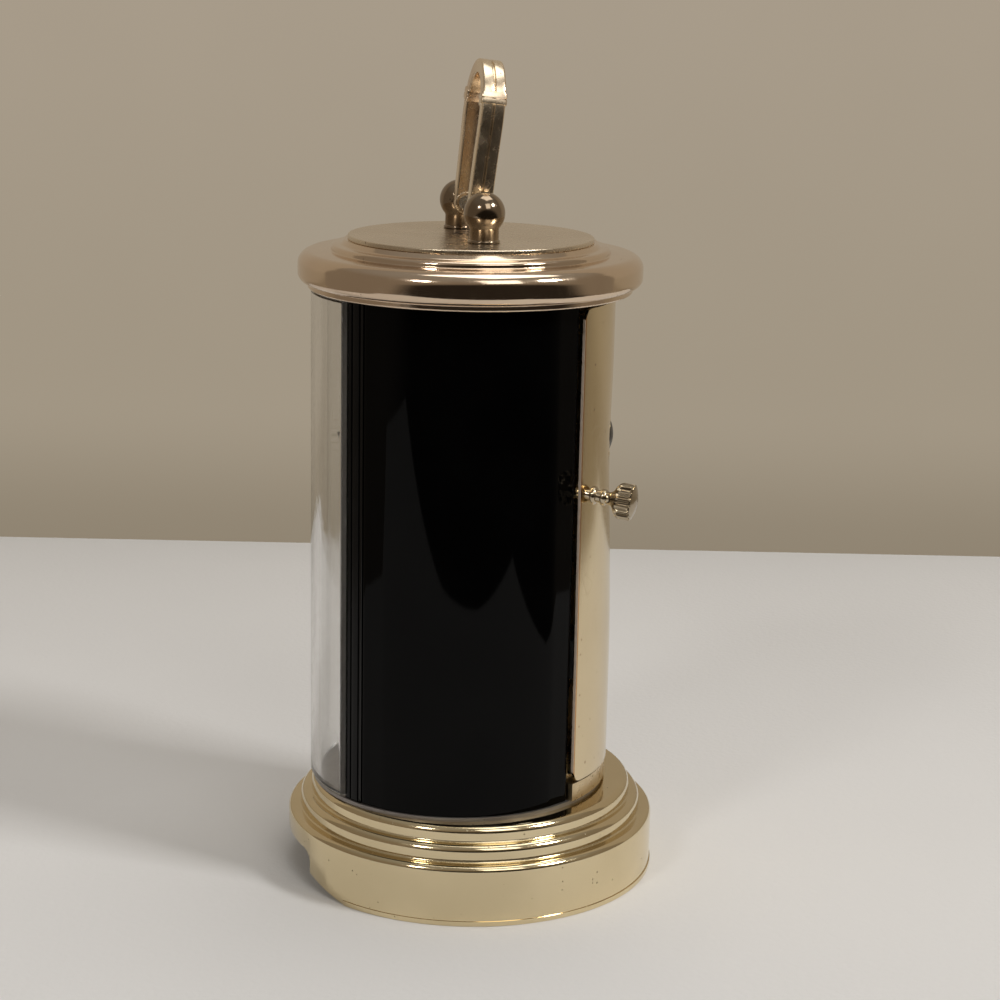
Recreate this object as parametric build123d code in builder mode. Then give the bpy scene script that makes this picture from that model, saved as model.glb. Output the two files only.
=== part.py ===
from build123d import *

import os
from math import asin, cos, degrees, radians, sin, tan

os.makedirs("parts", exist_ok=True)

# A desk alarm clock in the shape of a small round pillar.
# Millimetres. +Z is up, the dial looks towards -Y, the door is at +Y.
# The origin is the centre of the base on the surface that it stands on.
# Round places on the case are given by an angle about its upright axis:
# 0 is the right side, -90 the front and 90 the back.

# Fits
running_fit = 0.06
slide_fit = 0.15
seat_gap = 0.05
door_gap = 0.3

# Base, a spun brass shell with two beads above a plain wall
shell_wall = 1.0
base_wall_height = 9.4
base_arris_round = 0.9
foot_rim_proud = 0.15
foot_rim_height = 0.8
deck_margin = 2.6
lower_bead_ledge = 2.0
lower_bead_height = 2.55
upper_bead_ledge = 1.7
upper_bead_height = 2.35
bead_round = 1.1
bead_cove = 0.25
pad_thickness = 1.0
base_plate_thickness = 2.0
base_boss_radius = 3.0

# Arched cut-out in the front of the base
arch_half_width = 15.8
arch_height = 5.9
arch_round = 2.0
arch_ramp_width = 6.6
arch_ramp_height = 2.4
arch_depth = 11.0

# Case, a round drum that stands a little forward of the base
case_setback = 2.1
case_side_gap = 0.05
head_room = 7.9
floor_thickness = 0.6
floor_proud = 0.3
roof_thickness = 1.2
panel_wall = 1.6
panel_front_angle = -39.4
panel_back_angle = 49.2

# Front frame and curved lens
frame_front_angle = -48.5
frame_wall = 2.5
panel_joint = 0.2
frame_line_angles = (-45.0, -40.9)
frame_line_width = 0.3
frame_line_depth = 0.3
flange_thickness = 1.0
flange_tuck = 1.1
window_side = 2.3
window_rail = 3.6
lens_proud = 0.7
lens_wall = 1.5
lens_edge_gap = 0.3

# Dial and hands
dial_thickness = 0.8
dial_side_gap = 0.1
hand_thickness = 0.25
hand_gap = 0.15
hand_step = 0.5
hand_tip = 0.24
alarm_hand_width = 0.7
hour_hand_width = 1.5
minute_hand_width = 1.2
second_hand_width = 0.44
alarm_hand_tail = 1.4
hour_hand_tail = 1.6
minute_hand_tail = 1.8
second_hand_tail = 3.4
alarm_hand_length = 5.6
hour_hand_length = 7.4
minute_hand_length = 10.8
second_hand_length = 10.6
hour_hand_angle = 145.0
minute_hand_angle = 30.0
second_hand_angle = -75.0
alarm_hand_angle = -115.0

# Coaxial pipes of the hands, outer radii
second_arbor_radius = 0.35
pipe_wall = 0.5
bushing_wall = 1.1
nut_across_flats = 8.0
nut_thickness = 0.8

# Movement case
movement_depth = 13.0
movement_front_depth = 6.3
movement_side_gap = 1.07
movement_below = 16.5
movement_above = 19.5
movement_wall = 1.0
movement_round = 1.5
movement_screw_inset = 2.2
movement_boss_radius = 1.6
movement_screw_radius = 0.7
arbor_radius = 0.35
pivot_boss_radius = 0.9
pivot_boss_length = 0.6
pivot_length = 0.8

# Wheels: tooth counts and modules
hand_module = 0.3
train_module = 0.18
minute_pinion_teeth = 10
motion_wheel_teeth = 30
motion_pinion_teeth = 8
hour_wheel_teeth = 32
set_pinion_teeth = 15
alarm_wheel_teeth = 32
alarm_pinion_teeth = 16
second_wheel_teeth = 40
second_pinion_teeth = 8
step_wheel_teeth = 36
step_pinion_teeth = 8
rotor_pinion_teeth = 6
third_wheel_teeth = 60
third_pinion_teeth = 8
centre_wheel_teeth = 64
wheel_width = 0.6
pinion_width = 0.9
pinion_rise = 0.3
pinion_overlap = 0.1
wheel_gap = 0.2
clutch_gap = 0.7
centre_gap = 0.8
motion_stud_radius = 0.45
clutch_radius = 0.8

# Directions from one arbor to the next, seen from the front
motion_direction = -25.0
set_direction = -80.0
alarm_direction = -130.0
third_direction = 150.0
step_direction = 60.0
rotor_direction = 60.0

# Motor, circuit and sounder
rotor_radius = 2.0
rotor_thickness = 1.6
rotor_pivot_radius = 0.25
rotor_air_gap = 0.4
stator_thickness = 0.8
stator_offset = 2.05
stator_half_width = 5.3
stator_below = 4.4
stator_above = 3.4
stator_arm = 1.6
coil_rise = 7.5
coil_radius = 2.2
coil_core = 1.6
coil_half_length = 3.2
board_thickness = 0.8
board_level = -3.6
board_left = -9.2
board_right = 0.9
board_low = 2.0
board_high = 17.8
sounder_radius = 4.6
sounder_thickness = 3.2
sounder_place = (-6.6, 12.3)
crystal_radius = 0.9
crystal_length = 6.0
crystal_place = (-5.5, 10.0)
contact_place = -1.0

# Setting knobs and alarm button
time_knob_radius = 4.2
alarm_knob_radius = 3.4
knob_lift = 0.3
knob_length = 4.0
knob_grooves = 24
knob_groove_radius = 0.25
button_rise = 4.0
button_radius = 2.6
button_stem_radius = 1.1
button_proud = 0.0
button_travel = 0.8
button_head_length = 3.7

# Battery and its holder
battery_radius = 6.0
battery_length = 29.0
battery_cap_radius = 2.0
battery_cap_length = 0.8
holder_wall = 0.8
holder_head = 2.45
contact_thickness = 0.3
contact_spring_height = 0.9
battery_cover_thickness = 1.1

# Rods that hold the case together
rod_radius = 1.5
rod_bore = 0.9
rod_bore_depth = 6.0
rod_gap = 1.2
rod_angles = (-28.0, 20.0, 160.0, 208.0)
screw_head_radius = 1.7
screw_head_height = 1.1
screw_grip = 4.0

# Rear frame and curved door
rear_frame_gap = 1.0
rear_frame_wall = 1.3
rear_frame_angle = 50.0
rear_opening_angle = 56.0
sill_height = 2.8
head_rail = 3.0
guide_half_height = 4.4
door_wall = 0.9
door_edge_angle = 49.6
door_corner_round = 1.6
door_top_clearance = 0.7
door_hole_clearance = 0.7
stop_height = 3.0
stop_angle = 3.0

# Hinge of the door
hinge_angle = 130.0
hinge_offset = 0.55
knuckle_radius = 0.95
hinge_pin_radius = 0.4
knuckle_count = 7
knuckle_length = 10.0
knuckle_gap = 0.12
leaf_thickness = 0.5
leaf_land = 1.0

# Turned knob of the door
knob_angle = 54.2
knob_heading = 74.0
knob_droop = 6.0
knob_height = 48.6
knob_shank_radius = 0.75
knob_bead_place = 0.8
knob_bead_radius = 1.43
knob_collar_place = 2.4
knob_collar_radius = 1.25
knob_bead_half_width = 0.32
knob_head_radius = 2.75
knob_reach = 7.55
knob_head_length = 3.35
knob_flute_end_gap = 0.8
knob_head_flutes = 16
knob_flute_radius = 0.42
knob_nut_radius = 1.05
knob_nut_thickness = 0.6
knob_nut_pocket_gap = 0.45
magnet_size = (3.0, 0.8, 6.0)

# Cap, spun brass like the base
cap_setback = 1.3
cap_overhang = 3.5
cap_lip_inset = 1.5
cap_lip_height = 0.9
cap_overlap = 1.0
cap_rim_height = 4.7
cap_rim_under_round = 1.4
cap_rim_top_round = 2.0
cap_step_inset = 5.1
cap_step_height = 1.0
cap_neck_inset = 2.0
cap_neck_height = 0.8
top_disc_inset = 0.5
top_disc_thickness = 0.7

# Carrying handle
handle_turn = 12.5
handle_lean = 6.3
post_spacing = 19.0
post_radius = 2.2
post_height = 4.4
ball_radius = 3.1
post_stud_radius = 1.2
post_nut_radius = 2.6
post_nut_height = 1.6
spacer_radius = 2.6
pivot_radius = 0.8
pin_head_radius = 1.2
pin_head_thickness = 0.4
handle_bar = 2.1
handle_depth = 3.5
handle_foot = 5.1
handle_waist = (5.6, 9.0)
handle_shoulder = (6.0, 13.8)
handle_bend = (5.3, 17.2)
handle_corner = (3.1, 19.95)
handle_top = 22.05
handle_collar_place = 0.685
handle_collar_height = 2.0
handle_collar_proud = 0.25
handle_collar_round = 0.35
handle_groove_width = 0.35
handle_groove_depth = 0.3

# Arbor distances follow from the wheels
motion_distance = hand_module * (minute_pinion_teeth + motion_wheel_teeth) / 2
set_distance = hand_module * (motion_wheel_teeth + set_pinion_teeth) / 2
alarm_distance = hand_module * (alarm_wheel_teeth + alarm_pinion_teeth) / 2
third_distance = train_module * (second_pinion_teeth + third_wheel_teeth) / 2
third_module = 2 * third_distance / (third_pinion_teeth + centre_wheel_teeth)
step_distance = train_module * (second_wheel_teeth + step_pinion_teeth) / 2
rotor_distance = train_module * (step_wheel_teeth + rotor_pinion_teeth) / 2

# The case is made to fit the movement, and the movement to fit its motor
stator_x = (
    step_distance * cos(radians(step_direction))
    + rotor_distance * cos(radians(rotor_direction))
    + stator_offset
)
movement_half_width = stator_x + stator_half_width + movement_side_gap + movement_wall
frame_inner = (movement_half_width + case_side_gap) / cos(radians(frame_front_angle))
case_radius = frame_inner + frame_wall
lens_radius = case_radius + lens_proud
lens_inner = lens_radius - lens_wall
door_radius = case_radius + door_wall
rear_frame_outer = case_radius - rear_frame_gap
rear_frame_inner = rear_frame_outer - rear_frame_wall
rod_circle = case_radius - panel_wall - rod_gap - rod_radius
base_radius = case_radius + deck_margin + upper_bead_ledge + lower_bead_ledge
cap_radius = case_radius + cap_overhang
cap_lip_radius = cap_radius - cap_lip_inset
cap_step_radius = cap_radius - cap_step_inset
cap_neck_radius = cap_step_radius - cap_neck_inset
top_disc_radius = cap_neck_radius - top_disc_inset
case_y = -case_setback
cap_y = -cap_setback

# Heights, from the base up: the battery stands below the movement
lower_bead_foot = base_wall_height
upper_bead_foot = lower_bead_foot + lower_bead_height
deck_top = upper_bead_foot + upper_bead_height
deck_under = deck_top - shell_wall
case_foot = deck_top + floor_thickness
contact_foot = case_foot + holder_wall
battery_foot = contact_foot + contact_thickness + contact_spring_height
battery_top = battery_foot + battery_length
cap_end = battery_top + battery_cap_length
holder_top = cap_end + contact_thickness + holder_head
movement_low = holder_top + seat_gap
hand_z = movement_low + movement_below
button_z = hand_z + button_rise
movement_high = hand_z + movement_above
case_top = movement_high + head_room
case_height = case_top - case_foot
roof_top = case_top + roof_thickness
cap_foot = case_top - cap_overlap
rim_foot = cap_foot + cap_lip_height
rim_top = rim_foot + cap_rim_height
step_top = rim_top + cap_step_height
neck_top = step_top + cap_neck_height
disc_top = neck_top + top_disc_thickness
pivot_z = disc_top + post_height
door_foot = case_foot + sill_height + door_gap
door_top = cap_foot - door_top_clearance

# Depths behind the axis of the case, from the dial back
frame_edge_x = frame_inner * cos(radians(frame_front_angle))
frame_edge_y = frame_inner * sin(radians(frame_front_angle))
flange_front = frame_edge_y - seat_gap
flange_back = flange_front + flange_thickness
dial_back = flange_front
dial_front = dial_back - dial_thickness
nut_front = dial_front - nut_thickness
movement_front = flange_back + seat_gap
movement_split = movement_front + movement_front_depth
movement_back = movement_front + movement_depth
knob_back = movement_back + knob_lift + knob_length
alarm_hand_back = nut_front - hand_gap
hour_hand_back = alarm_hand_back - hand_step
minute_hand_back = hour_hand_back - hand_step
second_hand_back = minute_hand_back - hand_step

# Pipes of the hands, each outside the one before it
minute_pipe = second_arbor_radius + running_fit + pipe_wall
hour_pipe = minute_pipe + running_fit + pipe_wall
alarm_pipe = hour_pipe + running_fit + pipe_wall
bushing_radius = alarm_pipe + running_fit + bushing_wall


def facing(depth):
    """Upright plane across the case, depth behind its axis, looking to the front."""
    return Plane.XZ.offset(-(case_y + depth))


def case_level(height):
    """Level plane centred on the axis of the case."""
    return Plane((0, case_y, height))


def cap_level(height):
    """Level plane centred on the axis of the cap."""
    return Plane((0, cap_y, height))


def on_case(radius, angle, height):
    """Point at a radius and angle about the axis of the case."""
    return Vector(radius * cos(radians(angle)), case_y + radius * sin(radians(angle)), height)


def ring_sector(inner, outer, start, end):
    """Face between two radii and two angles, added to the current sketch."""
    with BuildLine() as outline:
        outer_arc = CenterArc((0, 0), outer, start, end - start)
        inner_arc = CenterArc((0, 0), inner, start, end - start)
        Line(outer_arc @ 0, inner_arc @ 0)
        Line(outer_arc @ 1, inner_arc @ 1)
    make_face(outline.edges())


def beside(centre, distance, direction):
    """Point at a distance and direction from another, across the dial."""
    turn = radians(direction)
    return (centre[0] + distance * cos(turn), centre[1] + distance * sin(turn))


def gear_outline(teeth, module, phase):
    """Corners of a gear with tapered teeth, one tooth centred on the phase angle."""
    pitch = 360 / teeth
    pitch_radius = module * teeth / 2
    root = pitch_radius - module
    tip = pitch_radius + 0.8 * module
    corners = []
    for tooth in range(teeth):
        for share, radius in ((-0.29, root), (-0.13, tip), (0.13, tip), (0.29, root)):
            corner = radians(phase + (tooth + share) * pitch)
            corners.append((radius * cos(corner), radius * sin(corner)))
    return corners


def meshed(phase, teeth, mate_teeth, direction):
    """Phase of a gear that meshes with one of the given phase, which lies at direction from it."""
    return direction + 180 + 180 / mate_teeth - teeth / mate_teeth * (phase - direction)


def turned(centre, gears, bars, bores=(), rim=0.0):
    """Arbor, wheel or pipe about an axis that runs front to back through centre.

    gears hold (teeth, module, phase, front, back), bars and bores (radius, front, back).
    A rim is the radius of a finger knob, whose edge is grooved over its whole length.
    """
    with BuildPart() as body:
        for teeth, module, phase, front, back in gears:
            with BuildSketch(facing(back)):
                with Locations(centre):
                    Polygon(*gear_outline(teeth, module, phase), align=None)
            extrude(amount=back - front)
        for radius, front, back in bars:
            with BuildSketch(facing(back)):
                with Locations(centre):
                    Circle(radius)
            extrude(amount=back - front)
        for radius, front, back in bores:
            with BuildSketch(facing(back)):
                with Locations(centre):
                    Circle(radius)
            extrude(amount=back - front, mode=Mode.SUBTRACT)
        if rim:
            with BuildSketch(facing(knob_back)):
                with Locations(centre):
                    with PolarLocations(rim, knob_grooves):
                        Circle(knob_groove_radius)
            extrude(amount=knob_length, mode=Mode.SUBTRACT)
    return body


def finish(builder, label):
    """Name a finished piece and write it."""
    builder.part.label = label
    export_step(builder.part, f"parts/{label}.step")


# Places of the rods and of the fixed arbors
rod_places = [(rod_circle * cos(radians(a)), rod_circle * sin(radians(a))) for a in rod_angles]
centre = (0, hand_z)
motion_place = beside(centre, motion_distance, motion_direction)
set_place = beside(motion_place, set_distance, set_direction)
alarm_place = beside(centre, alarm_distance, alarm_direction)
third_place = beside(centre, third_distance, third_direction)
step_place = beside(centre, step_distance, step_direction)
rotor_place = beside(step_place, rotor_distance, rotor_direction)

# Levels inside the movement, counted back from the inner face of its front wall
works_front = movement_front + movement_wall
works_back = movement_back - movement_wall
alarm_level = works_front + wheel_gap
hour_level = alarm_level + wheel_width + wheel_gap + pinion_rise
motion_level = hour_level + pinion_width + wheel_gap
centre_level = motion_level + wheel_width + wheel_gap + clutch_gap
third_level = centre_level + wheel_width + wheel_gap + centre_gap
step_level = third_level + wheel_width + wheel_gap + pinion_rise / 3
second_level = step_level + wheel_width + wheel_gap + pinion_rise / 3


# The spun base
base_outline = [
    ((base_radius + foot_rim_proud, 0), 0),
    ((base_radius + foot_rim_proud, foot_rim_height), 0),
    ((base_radius, foot_rim_height), 0),
    ((base_radius, lower_bead_foot), base_arris_round),
    ((base_radius - lower_bead_ledge, lower_bead_foot), bead_cove),
    ((base_radius - lower_bead_ledge, upper_bead_foot), bead_round),
    ((base_radius - lower_bead_ledge - upper_bead_ledge, upper_bead_foot), bead_cove),
    ((base_radius - lower_bead_ledge - upper_bead_ledge, deck_top), bead_round),
    ((0, deck_top), 0),
    ((0, deck_under), 0),
    ((base_radius - lower_bead_ledge - upper_bead_ledge - shell_wall, deck_under), 0),
    ((base_radius - lower_bead_ledge - upper_bead_ledge - shell_wall, upper_bead_foot - shell_wall), 0),
    ((base_radius - lower_bead_ledge - shell_wall, upper_bead_foot - shell_wall), 0),
    ((base_radius - lower_bead_ledge - shell_wall, lower_bead_foot - shell_wall), 0),
    ((base_radius - shell_wall, lower_bead_foot - shell_wall), 0),
    ((base_radius - shell_wall, 0), 0),
]
with BuildPart() as base_shell:
    with BuildSketch(Plane.XZ):
        with BuildLine():
            FilletPolyline(
                *[point for point, rounding in base_outline],
                radius=[rounding for point, rounding in base_outline],
                close=True,
            )
        make_face()
    revolve(axis=Axis.Z)
    with BuildSketch(Plane.XZ.offset(base_radius / 2)):
        with BuildLine():
            FilletPolyline(
                (-arch_half_width - arch_ramp_width, -1),
                (-arch_half_width - arch_ramp_width, 0),
                (-arch_half_width, arch_ramp_height),
                (-arch_half_width, arch_height),
                (arch_half_width, arch_height),
                (arch_half_width, arch_ramp_height),
                (arch_half_width + arch_ramp_width, 0),
                (arch_half_width + arch_ramp_width, -1),
                radius=[0, 0, 0.3, arch_round, arch_round, 0.3, 0, 0],
                close=True,
            )
        make_face()
    extrude(amount=base_radius, mode=Mode.SUBTRACT)
    with BuildSketch(case_level(deck_top)):
        with Locations(*rod_places):
            Circle(rod_bore + seat_gap)
    extrude(amount=-2 * shell_wall, mode=Mode.SUBTRACT)
finish(base_shell, "base_shell")

base_inside = base_radius - shell_wall - seat_gap
with BuildPart() as base_pad:
    with BuildSketch(Plane.XY):
        Circle(base_inside)
    extrude(amount=pad_thickness)
    with BuildSketch(Plane.XY):
        with Locations((0, -base_radius)):
            Rectangle(2 * base_radius, 2 * arch_depth)
    extrude(amount=pad_thickness, mode=Mode.SUBTRACT)
    with BuildSketch(case_level(0)):
        with Locations(*rod_places):
            Circle(screw_head_radius + slide_fit)
    extrude(amount=pad_thickness, mode=Mode.SUBTRACT)
finish(base_pad, "base_pad")

with BuildPart() as base_plate:
    with BuildSketch(Plane.XY.offset(pad_thickness)):
        Circle(base_inside)
    extrude(amount=base_plate_thickness)
    with BuildSketch(Plane.XY.offset(pad_thickness)):
        with Locations((0, -base_radius)):
            Rectangle(2 * base_radius, 2 * arch_depth)
    extrude(amount=base_plate_thickness, mode=Mode.SUBTRACT)
    with BuildSketch(case_level(pad_thickness)):
        with Locations(*rod_places):
            Circle(base_boss_radius)
    extrude(amount=deck_under - pad_thickness)
    with BuildSketch(case_level(pad_thickness)):
        with Locations(*rod_places):
            Circle(rod_bore + seat_gap)
    extrude(amount=deck_under - pad_thickness, mode=Mode.SUBTRACT)
    with BuildSketch(case_level(pad_thickness)):
        with Locations(*rod_places):
            Circle(screw_head_radius + slide_fit)
    extrude(amount=screw_head_height, mode=Mode.SUBTRACT)
finish(base_plate, "base_plate")

with BuildPart() as base_screws:
    head_foot = pad_thickness + seat_gap
    with BuildSketch(case_level(head_foot)):
        with Locations(*rod_places):
            Circle(screw_head_radius)
    extrude(amount=screw_head_height - seat_gap)
    with BuildSketch(case_level(head_foot)):
        with Locations(*rod_places):
            Circle(rod_bore - seat_gap / 2)
    extrude(amount=case_foot + screw_grip - head_foot)
finish(base_screws, "base_screws")

# Floor, roof and the rods between them
with BuildPart() as case_floor:
    with BuildSketch(case_level(deck_top)):
        Circle(case_radius + floor_proud)
        with Locations(*rod_places):
            Circle(rod_bore + seat_gap, mode=Mode.SUBTRACT)
    extrude(amount=floor_thickness)
finish(case_floor, "case_floor")

post_places = [
    (side * post_spacing / 2 * cos(radians(handle_turn)), side * post_spacing / 2 * sin(radians(handle_turn)))
    for side in (-1, 1)
]
with BuildPart() as case_roof:
    with BuildSketch(case_level(case_top)):
        Circle(case_radius)
        with Locations(*rod_places):
            Circle(rod_bore + seat_gap, mode=Mode.SUBTRACT)
    extrude(amount=roof_thickness)
    with BuildSketch(cap_level(case_top)):
        with Locations(*post_places):
            Circle(post_stud_radius + seat_gap)
    extrude(amount=roof_thickness, mode=Mode.SUBTRACT)
finish(case_roof, "case_roof")

with BuildPart() as tie_rods:
    with BuildSketch(case_level(case_foot)):
        with Locations(*rod_places):
            Circle(rod_radius)
    extrude(amount=case_height)
    with BuildSketch(case_level(case_foot)):
        with Locations(*rod_places):
            Circle(rod_bore)
    extrude(amount=rod_bore_depth, mode=Mode.SUBTRACT)
    with BuildSketch(case_level(case_top)):
        with Locations(*rod_places):
            Circle(rod_bore)
    extrude(amount=-rod_bore_depth, mode=Mode.SUBTRACT)
finish(tie_rods, "tie_rods")

with BuildPart() as roof_screws:
    with BuildSketch(case_level(roof_top)):
        with Locations(*rod_places):
            Circle(screw_head_radius)
    extrude(amount=screw_head_height)
    with BuildSketch(case_level(roof_top)):
        with Locations(*rod_places):
            Circle(rod_bore - seat_gap / 2)
    extrude(amount=-(roof_thickness + screw_grip))
finish(roof_screws, "roof_screws")

# Glossy side panels
for side, label in ((1, "side_panel_right"), (-1, "side_panel_left")):
    with BuildPart() as side_panel:
        with BuildSketch(case_level(case_foot)):
            ring_sector(case_radius - panel_wall, case_radius, panel_front_angle, panel_back_angle)
        extrude(amount=case_height)
        fillet(side_panel.edges().filter_by(Axis.Z), 0.3)
        if side < 0:
            mirror(about=Plane.YZ, mode=Mode.REPLACE)
    finish(side_panel, label)

# Front frame: two ribbed strips joined by a flat flange behind the dial
strip_end = panel_front_angle - panel_joint
with BuildPart() as front_frame:
    for mirrored in (False, True):
        start = -180 - strip_end if mirrored else frame_front_angle
        end = -180 - frame_front_angle if mirrored else strip_end
        with BuildSketch(case_level(case_foot)):
            ring_sector(frame_inner, case_radius, start, end)
        extrude(amount=case_height)
        for line_angle in frame_line_angles:
            middle = -180 - line_angle if mirrored else line_angle
            spread = degrees(frame_line_width / case_radius) / 2
            with BuildSketch(case_level(case_foot)):
                ring_sector(case_radius - frame_line_depth, case_radius + 1, middle - spread, middle + spread)
            extrude(amount=case_height, mode=Mode.SUBTRACT)
    with BuildSketch(facing(flange_back)):
        with Locations((0, case_foot + case_height / 2)):
            Rectangle(2 * (frame_edge_x + flange_tuck), case_height)
            Rectangle(2 * (frame_edge_x - window_side), case_height - 2 * window_rail, mode=Mode.SUBTRACT)
    extrude(amount=flange_thickness)
finish(front_frame, "front_frame")

with BuildPart() as lens:
    with BuildSketch(case_level(case_foot + lens_edge_gap)):
        ring_sector(lens_inner, lens_radius, -180 - frame_front_angle, frame_front_angle)
    extrude(amount=cap_foot - case_foot - 2 * lens_edge_gap)
finish(lens, "lens")

# Dial plate, its nut and the hands
with BuildPart() as dial_plate:
    with BuildSketch(facing(dial_back)):
        with Locations((0, case_foot + case_height / 2)):
            Rectangle(2 * (frame_edge_x - dial_side_gap), case_height - 2 * seat_gap)
        with Locations(centre):
            Circle(bushing_radius + seat_gap, mode=Mode.SUBTRACT)
    extrude(amount=dial_thickness)
finish(dial_plate, "dial_plate")

with BuildPart() as dial_nut:
    with BuildSketch(facing(dial_front)):
        with Locations(centre):
            RegularPolygon(nut_across_flats / 2, 6, major_radius=False)
            Circle(bushing_radius + seat_gap / 2, mode=Mode.SUBTRACT)
    extrude(amount=nut_thickness)
finish(dial_nut, "dial_nut")

hands = (
    ("alarm_hand", alarm_hand_length, alarm_hand_tail, alarm_hand_width, alarm_hand_angle),
    ("hour_hand", hour_hand_length, hour_hand_tail, hour_hand_width, hour_hand_angle),
    ("minute_hand", minute_hand_length, minute_hand_tail, minute_hand_width, minute_hand_angle),
    ("second_hand", second_hand_length, second_hand_tail, second_hand_width, second_hand_angle),
)
hand_seats = {
    "alarm_hand": (alarm_pipe, alarm_hand_back),
    "hour_hand": (hour_pipe, hour_hand_back),
    "minute_hand": (minute_pipe, minute_hand_back),
    "second_hand": (second_arbor_radius, second_hand_back),
}
for label, length, tail, width, angle in hands:
    pipe, back = hand_seats[label]
    with BuildPart() as hand:
        with BuildSketch(facing(back)):
            with Locations(Location((*centre, 0), (0, 0, angle))):
                Polygon(
                    (-tail, -width * 0.3),
                    (length * 0.6, -width / 2),
                    (length, -hand_tip / 2),
                    (length, hand_tip / 2),
                    (length * 0.6, width / 2),
                    (-tail, width * 0.3),
                    align=None,
                )
            with Locations(centre):
                Circle(pipe + pipe_wall)
                Circle(pipe, mode=Mode.SUBTRACT)
        extrude(amount=hand_thickness)
    finish(hand, label)

# Movement case in two halves
movement_middle = (movement_low + movement_high) / 2
movement_size = (2 * movement_half_width, movement_high - movement_low)
movement_screws_at = [
    (side * (movement_half_width - movement_screw_inset), height)
    for side in (-1, 1)
    for height in (movement_low + movement_screw_inset, movement_high - movement_screw_inset)
]
with BuildPart() as movement_case_front:
    with BuildSketch(facing(movement_split)):
        with Locations((0, movement_middle)):
            RectangleRounded(*movement_size, movement_round)
    extrude(amount=movement_split - movement_front)
    with BuildSketch(facing(movement_split)):
        with Locations((0, movement_middle)):
            RectangleRounded(
                movement_size[0] - 2 * movement_wall,
                movement_size[1] - 2 * movement_wall,
                movement_round - movement_wall / 2,
            )
    extrude(amount=movement_split - works_front, mode=Mode.SUBTRACT)
    with BuildSketch(facing(movement_split)):
        with Locations(*movement_screws_at):
            Circle(movement_boss_radius)
    extrude(amount=movement_split - works_front)
    with BuildSketch(facing(movement_split)):
        with Locations(*movement_screws_at):
            Circle(movement_screw_radius)
    extrude(amount=movement_split - works_front, mode=Mode.SUBTRACT)
    with BuildSketch(facing(motion_level + wheel_width + 0.3)):
        with Locations(motion_place):
            Circle(motion_stud_radius)
    extrude(amount=motion_level + wheel_width + 0.3 - works_front)
    with BuildSketch(facing(works_front)):
        with Locations(centre):
            Circle(bushing_radius)
    extrude(amount=works_front - nut_front)
    with BuildSketch(facing(works_front)):
        with Locations(centre):
            Circle(alarm_pipe + running_fit)
    extrude(amount=works_front - nut_front, mode=Mode.SUBTRACT)
finish(movement_case_front, "movement_case_front")

train_places = (third_place, step_place, rotor_place, centre)
setting_places = (set_place, alarm_place)
stator_posts = [
    (stator_x + stator_half_width - stator_arm / 2, rotor_place[1] - 1),
    (stator_x + stator_half_width - stator_arm / 2, rotor_place[1] + 5.5),
]
board_posts = [(board_left + 0.9, hand_z + 8), (board_left + 0.9, hand_z + 16)]
stator_back = third_level + wheel_width
with BuildPart() as movement_case_rear:
    with BuildSketch(facing(movement_back)):
        with Locations((0, movement_middle)):
            RectangleRounded(*movement_size, movement_round)
    extrude(amount=movement_back - movement_split)
    with BuildSketch(facing(works_back)):
        with Locations((0, movement_middle)):
            RectangleRounded(
                movement_size[0] - 2 * movement_wall,
                movement_size[1] - 2 * movement_wall,
                movement_round - movement_wall / 2,
            )
    extrude(amount=works_back - movement_split, mode=Mode.SUBTRACT)
    with BuildSketch(facing(works_back)):
        with Locations(*movement_screws_at):
            Circle(movement_boss_radius)
    extrude(amount=works_back - movement_split)
    with BuildSketch(facing(works_back)):
        with Locations(*train_places):
            Circle(pivot_boss_radius)
    extrude(amount=pivot_boss_length)
    with BuildSketch(facing(works_back)):
        with Locations(*stator_posts):
            Circle(0.8)
    extrude(amount=works_back - stator_back)
    with BuildSketch(facing(works_back)):
        with Locations(*board_posts):
            Circle(0.8)
    extrude(amount=works_back - board_level)
    with BuildSketch(facing(movement_back)):
        with Locations(*movement_screws_at):
            Circle(movement_screw_radius + seat_gap)
    extrude(amount=movement_back - movement_split, mode=Mode.SUBTRACT)
    with BuildSketch(facing(movement_back - movement_wall / 2)):
        with Locations(*train_places):
            Circle(arbor_radius + running_fit)
    extrude(amount=movement_wall / 2 + pivot_boss_length + 0.1, mode=Mode.SUBTRACT)
    with BuildSketch(facing(movement_back)):
        with Locations(*setting_places):
            Circle(2 * arbor_radius + running_fit)
        with Locations((0, button_z)):
            Circle(button_stem_radius + slide_fit)
    extrude(amount=movement_wall, mode=Mode.SUBTRACT)
finish(movement_case_rear, "movement_case_rear")

with BuildPart() as movement_screws:
    with BuildSketch(facing(movement_back)):
        with Locations(*movement_screws_at):
            Circle(movement_boss_radius - 0.1)
    extrude(amount=-0.7)
    with BuildSketch(facing(movement_back)):
        with Locations(*movement_screws_at):
            Circle(movement_screw_radius - seat_gap / 2)
    extrude(amount=movement_back - movement_split + screw_grip)
finish(movement_screws, "movement_screws")

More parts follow.
